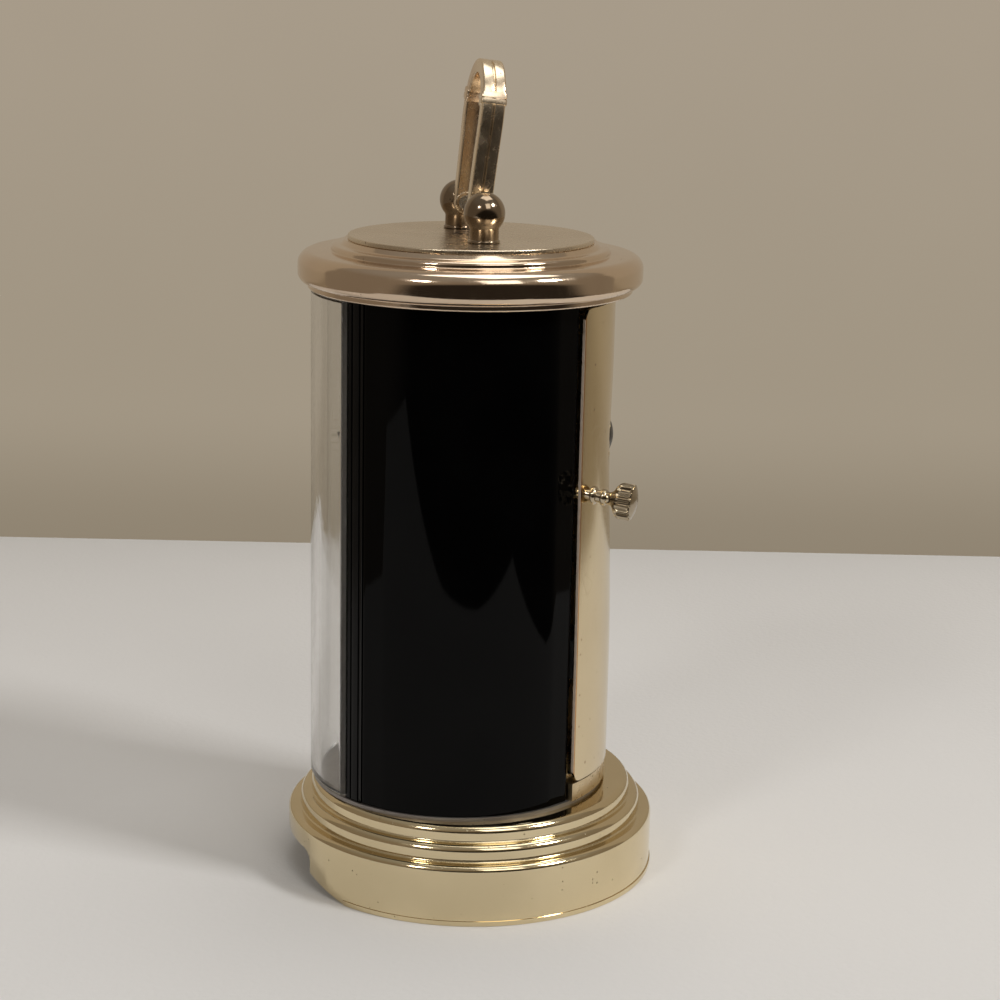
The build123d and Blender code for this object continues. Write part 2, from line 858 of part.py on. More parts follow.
# Phases that bring the wheels into mesh
minute_phase = 0.0
motion_phase = meshed(minute_phase, minute_pinion_teeth, motion_wheel_teeth, motion_direction)
motion_pinion_phase = 0.0
hour_phase = meshed(motion_pinion_phase, motion_pinion_teeth, hour_wheel_teeth, motion_direction + 180)
set_phase = meshed(motion_phase, motion_wheel_teeth, set_pinion_teeth, set_direction)
alarm_phase = 0.0
alarm_pinion_phase = meshed(alarm_phase, alarm_wheel_teeth, alarm_pinion_teeth, alarm_direction)
second_phase = 0.0
third_phase = meshed(second_phase, second_pinion_teeth, third_wheel_teeth, third_direction)
centre_phase = meshed(second_phase, third_pinion_teeth, centre_wheel_teeth, third_direction + 180)
step_phase = meshed(second_phase, second_wheel_teeth, step_pinion_teeth, step_direction)
rotor_phase = meshed(second_phase, step_wheel_teeth, rotor_pinion_teeth, rotor_direction)

pivot_back = works_back - pivot_boss_length + pivot_length
wheels = (
    (
        "alarm_wheel",
        centre,
        [(alarm_wheel_teeth, hand_module, alarm_phase, alarm_level, alarm_level + wheel_width)],
        [(alarm_pipe, alarm_hand_back - hand_thickness, alarm_level)],
        [(hour_pipe + running_fit, alarm_hand_back - hand_thickness, alarm_level + wheel_width)],
    ),
    (
        "hour_wheel",
        centre,
        [(hour_wheel_teeth, hand_module, hour_phase, hour_level, hour_level + wheel_width)],
        [(hour_pipe, hour_hand_back - hand_thickness, hour_level)],
        [(minute_pipe + running_fit, hour_hand_back - hand_thickness, hour_level + wheel_width)],
    ),
    (
        "minute_cannon",
        centre,
        [(minute_pinion_teeth, hand_module, minute_phase, motion_level - pinion_overlap, motion_level + wheel_width + pinion_overlap)],
        [
            (minute_pipe, minute_hand_back - hand_thickness, motion_level),
            (clutch_radius, motion_level, centre_level + wheel_width),
        ],
        [(second_arbor_radius + running_fit, minute_hand_back - hand_thickness, centre_level + wheel_width)],
    ),
    (
        "motion_wheel",
        motion_place,
        [
            (motion_wheel_teeth, hand_module, motion_phase, motion_level, motion_level + wheel_width),
            (motion_pinion_teeth, hand_module, motion_pinion_phase, hour_level - pinion_overlap, motion_level),
        ],
        [],
        [(motion_stud_radius + running_fit, hour_level - pinion_overlap, motion_level + wheel_width)],
    ),
    (
        "centre_wheel",
        centre,
        [(centre_wheel_teeth, third_module, centre_phase, centre_level, centre_level + wheel_width)],
        [],
        [(clutch_radius + running_fit, centre_level, centre_level + wheel_width)],
    ),
    (
        "third_wheel",
        third_place,
        [
            (third_wheel_teeth, train_module, third_phase, third_level, third_level + wheel_width),
            (third_pinion_teeth, third_module, second_phase, centre_level - pinion_overlap, third_level),
        ],
        [(arbor_radius, works_front + seat_gap, pivot_back)],
        [],
    ),
    (
        "second_wheel",
        centre,
        [
            (second_wheel_teeth, train_module, second_phase, second_level, second_level + wheel_width),
            (second_pinion_teeth, train_module, second_phase, third_level - pinion_overlap, second_level),
        ],
        [(second_arbor_radius, second_hand_back - hand_thickness, pivot_back)],
        [],
    ),
    (
        "step_wheel",
        step_place,
        [
            (step_wheel_teeth, train_module, second_phase, step_level, step_level + wheel_width),
            (step_pinion_teeth, train_module, step_phase, step_level, second_level + wheel_width + pinion_overlap),
        ],
        [(arbor_radius, stator_back - stator_thickness, pivot_back)],
        [],
    ),
    (
        "rotor",
        rotor_place,
        [(rotor_pinion_teeth, train_module, rotor_phase, stator_back, step_level + wheel_width + pinion_overlap)],
        [
            (rotor_radius, stator_back - stator_thickness / 2 - rotor_thickness / 2, stator_back + pinion_overlap),
            (rotor_pivot_radius, works_front + seat_gap, step_level),
            (arbor_radius, step_level + wheel_width, pivot_back),
        ],
        [],
    ),
    (
        "time_set_knob",
        set_place,
        [(set_pinion_teeth, hand_module, set_phase, motion_level, motion_level + wheel_width)],
        [
            (2 * arbor_radius, motion_level, knob_back),
            (time_knob_radius, knob_back - knob_length, knob_back),
        ],
        [],
    ),
    (
        "alarm_set_knob",
        alarm_place,
        [(alarm_pinion_teeth, hand_module, alarm_pinion_phase, alarm_level, alarm_level + wheel_width)],
        [
            (2 * arbor_radius, alarm_level, knob_back),
            (alarm_knob_radius, knob_back - knob_length, knob_back),
        ],
        [],
    ),
)
knob_radii = {"time_set_knob": time_knob_radius, "alarm_set_knob": alarm_knob_radius}
for label, place, gears, bars, bores in wheels:
    wheel = turned(place, gears, bars, bores, knob_radii.get(label, 0.0))
    finish(wheel, label)

# Motor: stator plate, core and coil
stator_places = (stator_x, rotor_place[1])
coil_z = rotor_place[1] + coil_rise
with BuildPart() as stator:
    with BuildSketch(facing(stator_back)):
        with Locations((stator_x, rotor_place[1] + (stator_above - stator_below) / 2)):
            Rectangle(2 * stator_half_width, stator_above + stator_below)
        for side in (-1, 1):
            with Locations((stator_x + side * (stator_half_width - stator_arm / 2), rotor_place[1] + coil_rise / 2)):
                Rectangle(stator_arm, coil_rise + coil_core)
        with Locations(rotor_place):
            Circle(rotor_radius + rotor_air_gap, mode=Mode.SUBTRACT)
        with Locations(step_place):
            Circle(arbor_radius + running_fit, mode=Mode.SUBTRACT)
    extrude(amount=stator_thickness)
finish(stator, "stator")

core_middle = stator_back - stator_thickness - coil_core / 2
with BuildPart() as coil_core_bar:
    with BuildSketch(facing(stator_back - stator_thickness)):
        with Locations((stator_x, coil_z)):
            Rectangle(2 * stator_half_width, coil_core)
    extrude(amount=coil_core)
finish(coil_core_bar, "coil_core")

with BuildPart() as coil:
    with BuildSketch(Plane.YZ.offset(stator_x - coil_half_length)):
        with Locations((case_y + core_middle, coil_z)):
            Circle(coil_radius)
            Rectangle(coil_core + 2 * seat_gap, coil_core + 2 * seat_gap, mode=Mode.SUBTRACT)
    extrude(amount=2 * coil_half_length)
finish(coil, "coil")

# Circuit board with its crystal, alarm contact and sounder
with BuildPart() as circuit_board:
    with BuildSketch(facing(board_level)):
        with Locations(((board_left + board_right) / 2, hand_z + (board_low + board_high) / 2)):
            Rectangle(board_right - board_left, board_high - board_low)
        with Locations(third_place, step_place):
            Circle(3 * arbor_radius, mode=Mode.SUBTRACT)
    extrude(amount=board_thickness)
finish(circuit_board, "circuit_board")

with BuildPart() as crystal:
    with BuildSketch(Plane.XY.offset(hand_z + crystal_place[1])):
        with Locations((crystal_place[0], case_y + board_level - board_thickness - crystal_radius)):
            Circle(crystal_radius)
    extrude(amount=crystal_length)
finish(crystal, "crystal")

with BuildPart() as alarm_contact:
    with BuildSketch(facing(board_level + 0.15)):
        with Locations((contact_place, button_z)):
            Rectangle(3.4, 2.2)
    extrude(amount=0.15)
finish(alarm_contact, "alarm_contact")

sounder_centre = (sounder_place[0], hand_z + sounder_place[1])
with BuildPart() as sounder:
    with BuildSketch(facing(works_front + sounder_thickness)):
        with Locations(sounder_centre):
            Circle(sounder_radius)
    extrude(amount=sounder_thickness)
    with BuildSketch(facing(works_front + sounder_thickness)):
        with Locations(sounder_centre):
            Circle(sounder_radius / 4)
    extrude(amount=sounder_thickness / 2, mode=Mode.SUBTRACT)
finish(sounder, "sounder")

# Alarm button, reached through the door
button_back = door_radius + button_proud
with BuildPart() as alarm_button:
    with BuildSketch(facing(button_back)):
        with Locations((0, button_z)):
            Circle(button_radius)
    extrude(amount=button_head_length)
    fillet(alarm_button.edges().group_by(Axis.Y)[-1], 0.75)
    with BuildSketch(facing(button_back - button_head_length)):
        with Locations((0, button_z)):
            Circle(button_stem_radius)
    extrude(amount=button_back - button_head_length - works_back)
finish(alarm_button, "alarm_button")

# Battery and its holder below the movement
holder_half_width = battery_radius + 2 * slide_fit + holder_wall
holder_front = flange_back + seat_gap
battery_y = holder_front + holder_wall + slide_fit + battery_radius
holder_back = battery_y + battery_radius + slide_fit
holder_foot = case_foot
with BuildPart() as battery_holder:
    with BuildSketch(facing(holder_back)):
        with Locations((0, (holder_foot + holder_top) / 2)):
            Rectangle(2 * holder_half_width, holder_top - holder_foot)
    extrude(amount=holder_back - holder_front)
    with BuildSketch(facing(holder_back)):
        with Locations((0, (contact_foot + cap_end + contact_thickness) / 2)):
            Rectangle(2 * (holder_half_width - holder_wall), cap_end + contact_thickness - contact_foot)
    extrude(amount=holder_back - holder_front - holder_wall, mode=Mode.SUBTRACT)
finish(battery_holder, "battery_holder")

with BuildPart() as battery:
    with BuildSketch(Plane((0, case_y + battery_y, battery_foot))):
        Circle(battery_radius)
    extrude(amount=battery_length)
    fillet(battery.edges().filter_by(GeomType.CIRCLE), 0.4)
    with BuildSketch(Plane((0, case_y + battery_y, battery_top))):
        Circle(battery_cap_radius)
    extrude(amount=battery_cap_length)
finish(battery, "battery")

for label, foot, rise, spring in (
    ("battery_contact_low", contact_foot, contact_thickness, contact_spring_height),
    ("battery_contact_high", cap_end, contact_thickness, 0),
):
    with BuildPart() as contact:
        with BuildSketch(Plane((0, case_y + battery_y, foot))):
            Rectangle(2 * battery_radius - 2, battery_radius)
        extrude(amount=rise)
        if spring:
            with BuildSketch(Plane((0, case_y + battery_y, foot + rise))):
                Circle(battery_radius / 2)
            extrude(amount=spring, taper=30)
    finish(contact, label)

with BuildPart() as battery_cover:
    with BuildSketch(facing(holder_back + seat_gap + battery_cover_thickness)):
        with Locations((0, (holder_foot + holder_top) / 2)):
            RectangleRounded(2 * holder_half_width - 2 * seat_gap, holder_top - holder_foot - 2, 1)
    extrude(amount=battery_cover_thickness)
    with BuildSketch(facing(holder_back + seat_gap + battery_cover_thickness)):
        with GridLocations(0, 1.6, 1, 4):
            with Locations((0, holder_top - 6)):
                Rectangle(holder_half_width, 0.6)
    extrude(amount=0.4, mode=Mode.SUBTRACT)
finish(battery_cover, "battery_cover")

# Rear frame with its sill, the guide of the alarm button and the fixed knuckles
hinge_radius = door_radius + hinge_offset
hinge_point = on_case(hinge_radius, hinge_angle, 0)
hinge_foot = (door_foot + door_top - knuckle_count * knuckle_length) / 2
fixed_knuckles = [hinge_foot + k * knuckle_length for k in range(0, knuckle_count, 2)]
moving_knuckles = [hinge_foot + k * knuckle_length for k in range(1, knuckle_count, 2)]

# The knob stands on the door a little turned and drooping, so its nut needs a pocket in the frame
knob_z = case_foot + knob_height
knob_root = on_case(door_radius, knob_angle, knob_z)
knob_level_axis = on_case(1, knob_heading, 0) - Vector(0, case_y, 0)
knob_axis = knob_level_axis * cos(radians(knob_droop)) - Vector(0, 0, sin(radians(knob_droop)))
knob_lean = radians(knob_axis.get_angle(on_case(1, knob_angle, 0) - Vector(0, case_y, 0)))
knob_nut_place = door_wall / cos(knob_lean) + knob_nut_radius * tan(knob_lean) + 0.05
knob_nut_back = knob_nut_place + knob_nut_thickness
leaf_plane = Plane((0, case_y, 0), x_dir=on_case(1, hinge_angle, 0) - Vector(0, case_y, 0), z_dir=(0, 0, 1))
with BuildPart() as rear_frame:
    with BuildSketch(case_level(case_foot)):
        ring_sector(rear_frame_inner, rear_frame_outer, rear_frame_angle, 180 - rear_frame_angle)
    extrude(amount=case_height)
    with BuildSketch(case_level(case_foot + sill_height)):
        ring_sector(rear_frame_inner - 1, rear_frame_outer + 1, rear_opening_angle, 180 - rear_opening_angle)
    extrude(amount=case_height - sill_height - head_rail, mode=Mode.SUBTRACT)
    with BuildSketch(case_level(case_foot)):
        ring_sector(rear_frame_inner, door_radius - 0.2, rear_frame_angle, 180 - rear_frame_angle)
    extrude(amount=sill_height)
    with BuildSketch(case_level(button_z - guide_half_height)):
        ring_sector(rear_frame_inner, rear_frame_outer, rear_frame_angle, 180 - rear_frame_angle)
    extrude(amount=2 * guide_half_height)
    with BuildSketch(facing(door_radius)):
        with Locations((0, button_z)):
            Circle(button_radius + slide_fit)
    extrude(amount=door_radius - rear_frame_inner + 2, mode=Mode.SUBTRACT)
    for height in (door_foot + 1, door_top - 1 - stop_height):
        with BuildSketch(case_level(height)):
            ring_sector(
                rear_frame_inner,
                door_radius - door_wall - slide_fit,
                rear_frame_angle + 1,
                rear_frame_angle + 1 + stop_angle,
            )
        extrude(amount=stop_height)
    for foot in fixed_knuckles:
        with BuildSketch(leaf_plane.offset(foot)):
            with Locations(((rear_frame_inner + hinge_radius) / 2 + 0.3, -leaf_thickness / 2)):
                Rectangle(hinge_radius - rear_frame_inner - 0.6, leaf_thickness)
            with Locations((hinge_radius, 0)):
                Circle(knuckle_radius)
        extrude(amount=knuckle_length - knuckle_gap)
        with BuildSketch(leaf_plane.offset(foot)):
            with Locations((hinge_radius, 0)):
                Circle(hinge_pin_radius + seat_gap / 2)
        extrude(amount=knuckle_length - knuckle_gap, mode=Mode.SUBTRACT)
    with BuildSketch(Plane(knob_root, z_dir=knob_axis).offset(-knob_nut_back - 0.15)):
        Circle(knob_nut_radius + knob_nut_pocket_gap)
    extrude(amount=2, mode=Mode.SUBTRACT)
finish(rear_frame, "rear_frame")

with BuildPart() as hinge_pin:
    with BuildSketch(leaf_plane.offset(hinge_foot - 0.6)):
        with Locations((hinge_radius, 0)):
            Circle(hinge_pin_radius)
    extrude(amount=knuckle_count * knuckle_length + 1.2)
    with BuildSketch(leaf_plane.offset(hinge_foot + knuckle_count * knuckle_length)):
        with Locations((hinge_radius, 0)):
            Circle(knuckle_radius * 0.8)
    extrude(amount=0.6)
finish(hinge_pin, "hinge_pin")

# Curved sheet door
door_inner = door_radius - door_wall
knuckle_angle = degrees(leaf_land / door_radius)
with BuildPart() as back_door:
    with BuildSketch(case_level(door_foot)):
        ring_sector(door_inner, door_radius, door_edge_angle, hinge_angle - knuckle_angle)
    extrude(amount=door_top - door_foot)
    corners = back_door.edges().filter_by(lambda edge: edge.length < 2 * door_wall).group_by(Axis.X)[-1]
    fillet(corners, door_corner_round)
    for foot in moving_knuckles:
        with BuildSketch(leaf_plane.offset(foot)):
            with Locations((door_inner + 0.1, -leaf_land - 0.3)):
                Rectangle(door_wall - 0.1, leaf_land + 0.2, align=(Align.MIN, Align.MIN))
            with Locations((hinge_radius, 0)):
                Circle(knuckle_radius)
        extrude(amount=knuckle_length - knuckle_gap)
        with BuildSketch(leaf_plane.offset(foot)):
            with Locations((hinge_radius, 0)):
                Circle(hinge_pin_radius + running_fit)
        extrude(amount=knuckle_length - knuckle_gap, mode=Mode.SUBTRACT)
    with BuildSketch(facing(door_radius + 1)):
        with Locations((0, button_z)):
            Circle(button_radius + door_hole_clearance)
    extrude(amount=door_wall + 3, mode=Mode.SUBTRACT)
    with BuildSketch(Plane(knob_root, z_dir=knob_axis).offset(1)):
        Circle(knob_shank_radius + seat_gap / 2)
    extrude(amount=-door_wall - 3, mode=Mode.SUBTRACT)
finish(back_door, "back_door")

# Turned knob with a fluted head, and the nut behind the door
head_foot = knob_reach - knob_head_length
head_shoulder = knob_reach - knob_flute_end_gap
dome_centre = (knob_reach**2 - head_shoulder**2 - knob_head_radius**2) / (2 * (knob_reach - head_shoulder))
dome_radius = knob_reach - dome_centre
dome_rise = degrees(asin(knob_head_radius / dome_radius))
neck_foot = head_foot - 1.2
knob_side = Plane(knob_root, x_dir=knob_axis, z_dir=knob_axis.cross(Vector(0, 0, 1)))
with BuildPart() as door_knob:
    with BuildSketch(knob_side):
        with BuildLine():
            start = 0.1
            for place, radius in ((knob_bead_place, knob_bead_radius), (knob_collar_place, knob_collar_radius)):
                Line((start, knob_shank_radius), (place - knob_bead_half_width, knob_shank_radius))
                start = place + knob_bead_half_width
                ThreePointArc(
                    (place - knob_bead_half_width, knob_shank_radius),
                    (place, radius),
                    (start, knob_shank_radius),
                )
            Line((start, knob_shank_radius), (neck_foot, knob_shank_radius))
            ThreePointArc(
                (neck_foot, knob_shank_radius),
                (neck_foot + 0.9, knob_shank_radius + 0.3),
                (head_foot, knob_head_radius - 0.5),
            )
            Polyline(
                (head_foot, knob_head_radius - 0.5),
                (head_foot + 0.6, knob_head_radius),
                (head_shoulder, knob_head_radius),
            )
            CenterArc((dome_centre, 0), dome_radius, 0, dome_rise)
            Polyline(
                (knob_reach, 0),
                (-knob_nut_back, 0),
                (-knob_nut_back, knob_shank_radius),
                (0.1, knob_shank_radius),
            )
        make_face()
    revolve(axis=Axis(knob_root, knob_axis))
    with BuildSketch(Plane(knob_root, z_dir=knob_axis).offset(head_foot - 0.3)):
        with PolarLocations(knob_head_radius + knob_flute_radius * 0.35, knob_head_flutes):
            Circle(knob_flute_radius)
    extrude(amount=head_shoulder - head_foot + 0.3, mode=Mode.SUBTRACT)
finish(door_knob, "door_knob")

with BuildPart() as knob_nut:
    with BuildSketch(Plane(knob_root, z_dir=knob_axis).offset(-knob_nut_place)):
        Circle(knob_nut_radius)
        Circle(knob_shank_radius + seat_gap / 2, mode=Mode.SUBTRACT)
    extrude(amount=-knob_nut_thickness)
finish(knob_nut, "knob_nut")

magnet_plane = Plane((0, case_y, 0), x_dir=on_case(1, rear_frame_angle + 3, 0) - Vector(0, case_y, 0), z_dir=(0, 0, 1))
with BuildPart() as door_magnet:
    with BuildSketch(magnet_plane.offset(case_foot + case_height / 4)):
        with Locations((rear_frame_outer + seat_gap, 0)):
            Rectangle(magnet_size[1], magnet_size[0] * 0.7, align=(Align.MIN, Align.CENTER))
    extrude(amount=magnet_size[2])
finish(door_magnet, "door_magnet")

# Cap: rolled lip, rounded rim, low step and neck below the top disc
lip_inner = cap_lip_radius - shell_wall + 0.1
cap_outline = [
    ((lip_inner, cap_foot), 0),
    ((cap_lip_radius, cap_foot), 0.3),
    ((cap_lip_radius, rim_foot), 0),
    ((cap_radius, rim_foot), cap_rim_under_round),
    ((cap_radius, rim_top), cap_rim_top_round),
    ((cap_step_radius + 0.1, rim_top + 0.15), 0.2),
    ((cap_step_radius, step_top), 0.55),
    ((cap_neck_radius + 0.6, step_top + 0.15), 0.5),
    ((cap_neck_radius, neck_top), 0),
    ((0, neck_top), 0),
    ((0, neck_top - shell_wall), 0),
    ((cap_neck_radius - shell_wall, neck_top - shell_wall), 0),
    ((cap_neck_radius - shell_wall, step_top - shell_wall), 0),
    ((cap_step_radius - shell_wall, step_top - shell_wall), 0),
    ((cap_step_radius - shell_wall, rim_top - shell_wall), 0),
    ((cap_radius - shell_wall, rim_top - shell_wall), 0),
    ((cap_radius - shell_wall, rim_foot + shell_wall), 0),
    ((lip_inner, rim_foot + shell_wall), 0),
]
with BuildPart() as cap_shell:
    with BuildSketch(Plane((0, cap_y, 0), x_dir=(1, 0, 0), z_dir=(0, -1, 0))):
        with BuildLine():
            FilletPolyline(
                *[point for point, rounding in cap_outline],
                radius=[rounding for point, rounding in cap_outline],
                close=True,
            )
        make_face()
    revolve(axis=Axis((0, cap_y, 0), (0, 0, 1)))
    with BuildSketch(cap_level(neck_top)):
        with Locations(*post_places):
            Circle(post_stud_radius + seat_gap)
    extrude(amount=-2 * shell_wall, mode=Mode.SUBTRACT)
finish(cap_shell, "cap_shell")

with BuildPart() as top_disc:
    with BuildSketch(cap_level(neck_top)):
        Circle(top_disc_radius)
        with Locations(*post_places):
            Circle(post_stud_radius + seat_gap, mode=Mode.SUBTRACT)
    extrude(amount=top_disc_thickness)
    fillet(top_disc.faces().sort_by(Axis.Z)[-1].outer_wire().edges(), 0.15)
finish(top_disc, "top_disc")

with BuildPart() as cap_spacers:
    with BuildSketch(cap_level(roof_top)):
        with Locations(*post_places):
            Circle(spacer_radius)
        with Locations(*post_places):
            Circle(post_stud_radius + seat_gap, mode=Mode.SUBTRACT)
    extrude(amount=neck_top - shell_wall - roof_top)
finish(cap_spacers, "cap_spacers")

# Ball posts, screwed through the cap and the roof
for side, label in ((-1, "post_left"), (1, "post_right")):
    place = post_places[0] if side < 0 else post_places[1]
    across = Vector(cos(radians(handle_turn)), sin(radians(handle_turn)), 0)
    with BuildPart() as post:
        with BuildSketch(cap_level(disc_top)):
            with Locations(place):
                Circle(post_radius)
        extrude(amount=post_height)
        with Locations((place[0], cap_y + place[1], pivot_z)):
            Sphere(ball_radius)
        with BuildSketch(cap_level(disc_top)):
            with Locations(place):
                Circle(post_stud_radius)
        extrude(amount=-(disc_top - case_top + post_nut_height))
        with BuildSketch(Plane((0, cap_y, pivot_z), z_dir=across * side).offset(handle_foot)):
            Circle(pivot_radius)
        extrude(amount=post_spacing / 2 - handle_foot + ball_radius / 2, mode=Mode.SUBTRACT)
    finish(post, label)

with BuildPart() as post_nuts:
    with BuildSketch(cap_level(case_top)):
        with Locations(*post_places):
            RegularPolygon(post_nut_radius, 6)
        with Locations(*post_places):
            Circle(post_stud_radius, mode=Mode.SUBTRACT)
    extrude(amount=-post_nut_height)
finish(post_nuts, "post_nuts")

pin_start = handle_foot - handle_bar / 2 - seat_gap
with BuildPart() as handle_pins:
    for side in (-1, 1):
        pin_plane = Plane((0, cap_y, pivot_z), z_dir=across * side).offset(pin_start)
        with BuildSketch(pin_plane):
            Circle(pivot_radius)
        extrude(amount=post_spacing / 2 + ball_radius / 2 - pin_start)
        with BuildSketch(pin_plane):
            Circle(pin_head_radius)
        extrude(amount=-pin_head_thickness)
finish(handle_pins, "handle_pins")

# Carrying handle: a flat bow with a groove round its outside and a collar on each leg
turn = radians(handle_turn)
lean = radians(handle_lean)
handle_normal = Vector(sin(turn) * cos(lean), -cos(turn) * cos(lean), sin(lean))
handle_plane = Plane((0, cap_y, pivot_z), x_dir=across, z_dir=handle_normal)
bow_top = handle_top - handle_bar / 2
with BuildLine() as bow:
    leg = Spline(
        (handle_foot, 0),
        handle_waist,
        handle_shoulder,
        handle_bend,
        handle_corner,
        (0, bow_top),
        tangents=[(0.06, 1), (-1, 0)],
    )
    mirror(leg, about=Plane.YZ)
with BuildPart() as handle:
    with BuildSketch(handle_plane.offset(-handle_depth / 2)):
        trace(bow.line, line_width=handle_bar)
        with Locations((0, -handle_bar)):
            Rectangle(3 * handle_foot, 2 * handle_bar, mode=Mode.SUBTRACT)
    extrude(amount=handle_depth)
    with BuildSketch(handle_plane.offset(-handle_groove_width / 2)):
        trace(bow.line, line_width=handle_bar + 1)
        trace(bow.line, line_width=handle_bar - 2 * handle_groove_depth, mode=Mode.SUBTRACT)
        make_face(bow.edges() + [Edge.make_line((-handle_foot, 0), (handle_foot, 0))], mode=Mode.SUBTRACT)
    extrude(amount=handle_groove_width, mode=Mode.SUBTRACT)
    for side in (-1, 1):
        eye_plane = Plane((0, cap_y, pivot_z), x_dir=handle_normal, z_dir=across * side)
        with BuildSketch(eye_plane.offset(handle_foot - handle_bar / 2)):
            Circle(handle_depth / 2)
        extrude(amount=handle_bar)
        with BuildSketch(eye_plane.offset(handle_foot - handle_bar)):
            Circle(pivot_radius + running_fit)
        extrude(amount=2 * handle_bar, mode=Mode.SUBTRACT)
        collar_centre = leg @ handle_collar_place
        collar_line = leg % handle_collar_place
        collar_axis = across * collar_line.X * side + handle_plane.y_dir * collar_line.Y
        collar_middle = handle_plane.from_local_coords(Vector(side * collar_centre.X, collar_centre.Y, 0))
        with BuildSketch(Plane(collar_middle, x_dir=handle_normal, z_dir=collar_axis)):
            RectangleRounded(
                handle_depth + 2 * handle_collar_proud,
                handle_bar + handle_collar_proud,
                handle_collar_round,
            )
        extrude(amount=handle_collar_height / 2, both=True)
finish(handle, "handle")
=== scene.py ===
# %% [markdown]
# # Dressing a small brass desk alarm clock
# The clock is a round pillar: a spun brass base, glossy black sides, a curved clear
# front, a curved brass door at the back, a spun cap and a folding carrying handle.
# The working drawing gives every size. Here the pieces that show get their finer shapes
# and all of them get their finishes, so the first step is to load that drawing.

# %% Load the frame
import math

import bmesh
import bpy
from mathutils import Matrix, Vector
from mathutils.geometry import interpolate_bezier


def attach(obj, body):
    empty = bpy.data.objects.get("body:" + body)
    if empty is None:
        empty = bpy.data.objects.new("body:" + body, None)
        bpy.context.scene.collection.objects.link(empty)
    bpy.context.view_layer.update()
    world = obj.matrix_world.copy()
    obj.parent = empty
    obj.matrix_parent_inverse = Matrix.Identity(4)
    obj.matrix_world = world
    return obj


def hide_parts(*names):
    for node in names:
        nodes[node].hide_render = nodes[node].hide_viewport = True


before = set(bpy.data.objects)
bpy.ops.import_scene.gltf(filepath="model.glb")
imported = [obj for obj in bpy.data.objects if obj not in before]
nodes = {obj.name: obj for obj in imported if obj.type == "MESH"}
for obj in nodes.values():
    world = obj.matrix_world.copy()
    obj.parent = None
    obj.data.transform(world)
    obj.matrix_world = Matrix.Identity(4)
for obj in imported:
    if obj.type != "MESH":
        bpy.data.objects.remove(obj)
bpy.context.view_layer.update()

MM = 0.001

# %% [markdown]
# ## The sizes that the pieces share
# A turned object is described by a few radii and heights. They repeat the working
# drawing in millimetres. The case stands a little forward of the middle of the base, so
# the case and the cap each have their own upright axis.

# %% Sizes in millimetres
case_y, cap_y = -2.1, -1.3
base_radius, case_radius, cap_radius = 29.2, 22.9, 26.4
deck_top, case_foot, case_top = 14.3, 14.9, 93.4
lens_inner, lens_radius = 22.1, 23.6
door_inner, door_radius = 22.9, 23.8
door_foot, door_top = 18.0, 91.7
hand_z, button_z = 66.0, 70.0
disc_top, pivot_z = 100.5, 104.9
print("case", case_radius, "mm in radius,", case_top - case_foot, "mm high")

# %% [markdown]
# ## Tools for turned and bent pieces
# Most of this clock comes off a lathe or out of a rolling machine, so two tools make
# nearly all of it. One spins an outline round an axis, as a lathe does. The other lifts
# an outline straight up, as for a strip or a bent sheet. Both need outlines whose
# corners are eased, because no real corner is perfectly sharp and the small roundings
# are what catch the light.

# %% Round the corners of an outline
def eased(corners, closed=False, fineness=14.0):
    """Points of an outline whose corners (across, up, rounding) are rounded."""
    points = []
    count = len(corners)
    for i, (across, up, rounding) in enumerate(corners):
        here = Vector((across, up))
        if rounding == 0 or (not closed and i in (0, count - 1)):
            points.append(here)
            continue
        back = (Vector(corners[i - 1][:2]) - here).normalized()
        ahead = (Vector(corners[(i + 1) % count][:2]) - here).normalized()
        half = back.angle(ahead) / 2
        centre = here + (back + ahead).normalized() * rounding / math.sin(half)
        first = here + back * rounding / math.tan(half) - centre
        last = here + ahead * rounding / math.tan(half) - centre
        turn = math.atan2(first.x * last.y - first.y * last.x, first.dot(last))
        steps = max(2, math.ceil(abs(math.degrees(turn)) / fineness))
        for k in range(steps + 1):
            angle = turn * k / steps
            points.append(centre + Matrix.Rotation(angle, 2) @ first)
    return points


# %% Make a mesh piece
def placed(name, data):
    """Put a mesh, curve, light or camera into the scene as an object."""
    thing = bpy.data.objects.new(name, data)
    bpy.context.scene.collection.objects.link(thing)
    return thing


def finish_mesh(name, bm, sharp=32.0):
    """Turn a bmesh in millimetres into a piece with outward faces, smooth but for its sharp edges."""
    bmesh.ops.remove_doubles(bm, verts=bm.verts, dist=0.0005)
    bmesh.ops.dissolve_degenerate(bm, edges=bm.edges, dist=0.0002)
    bmesh.ops.recalc_face_normals(bm, faces=bm.faces)
    bmesh.ops.scale(bm, vec=(MM, MM, MM), verts=bm.verts)
    mesh = bpy.data.meshes.new(name)
    bm.to_mesh(mesh)
    bm.free()
    mesh.shade_smooth()
    mesh.set_sharp_from_angle(angle=math.radians(sharp))
    return placed(name, mesh)


def bridge(bm, lower, upper):
    """Faces between two closed rows of points; a row of one point is a pole."""
    count = max(len(lower), len(upper))
    for k in range(count):
        following = (k + 1) % count
        if len(lower) == 1:
            bm.faces.new((lower[0], upper[following], upper[k]))
        elif len(upper) == 1:
            bm.faces.new((lower[k], lower[following], upper[0]))
        else:
            bm.faces.new((lower[k], lower[following], upper[following], upper[k]))


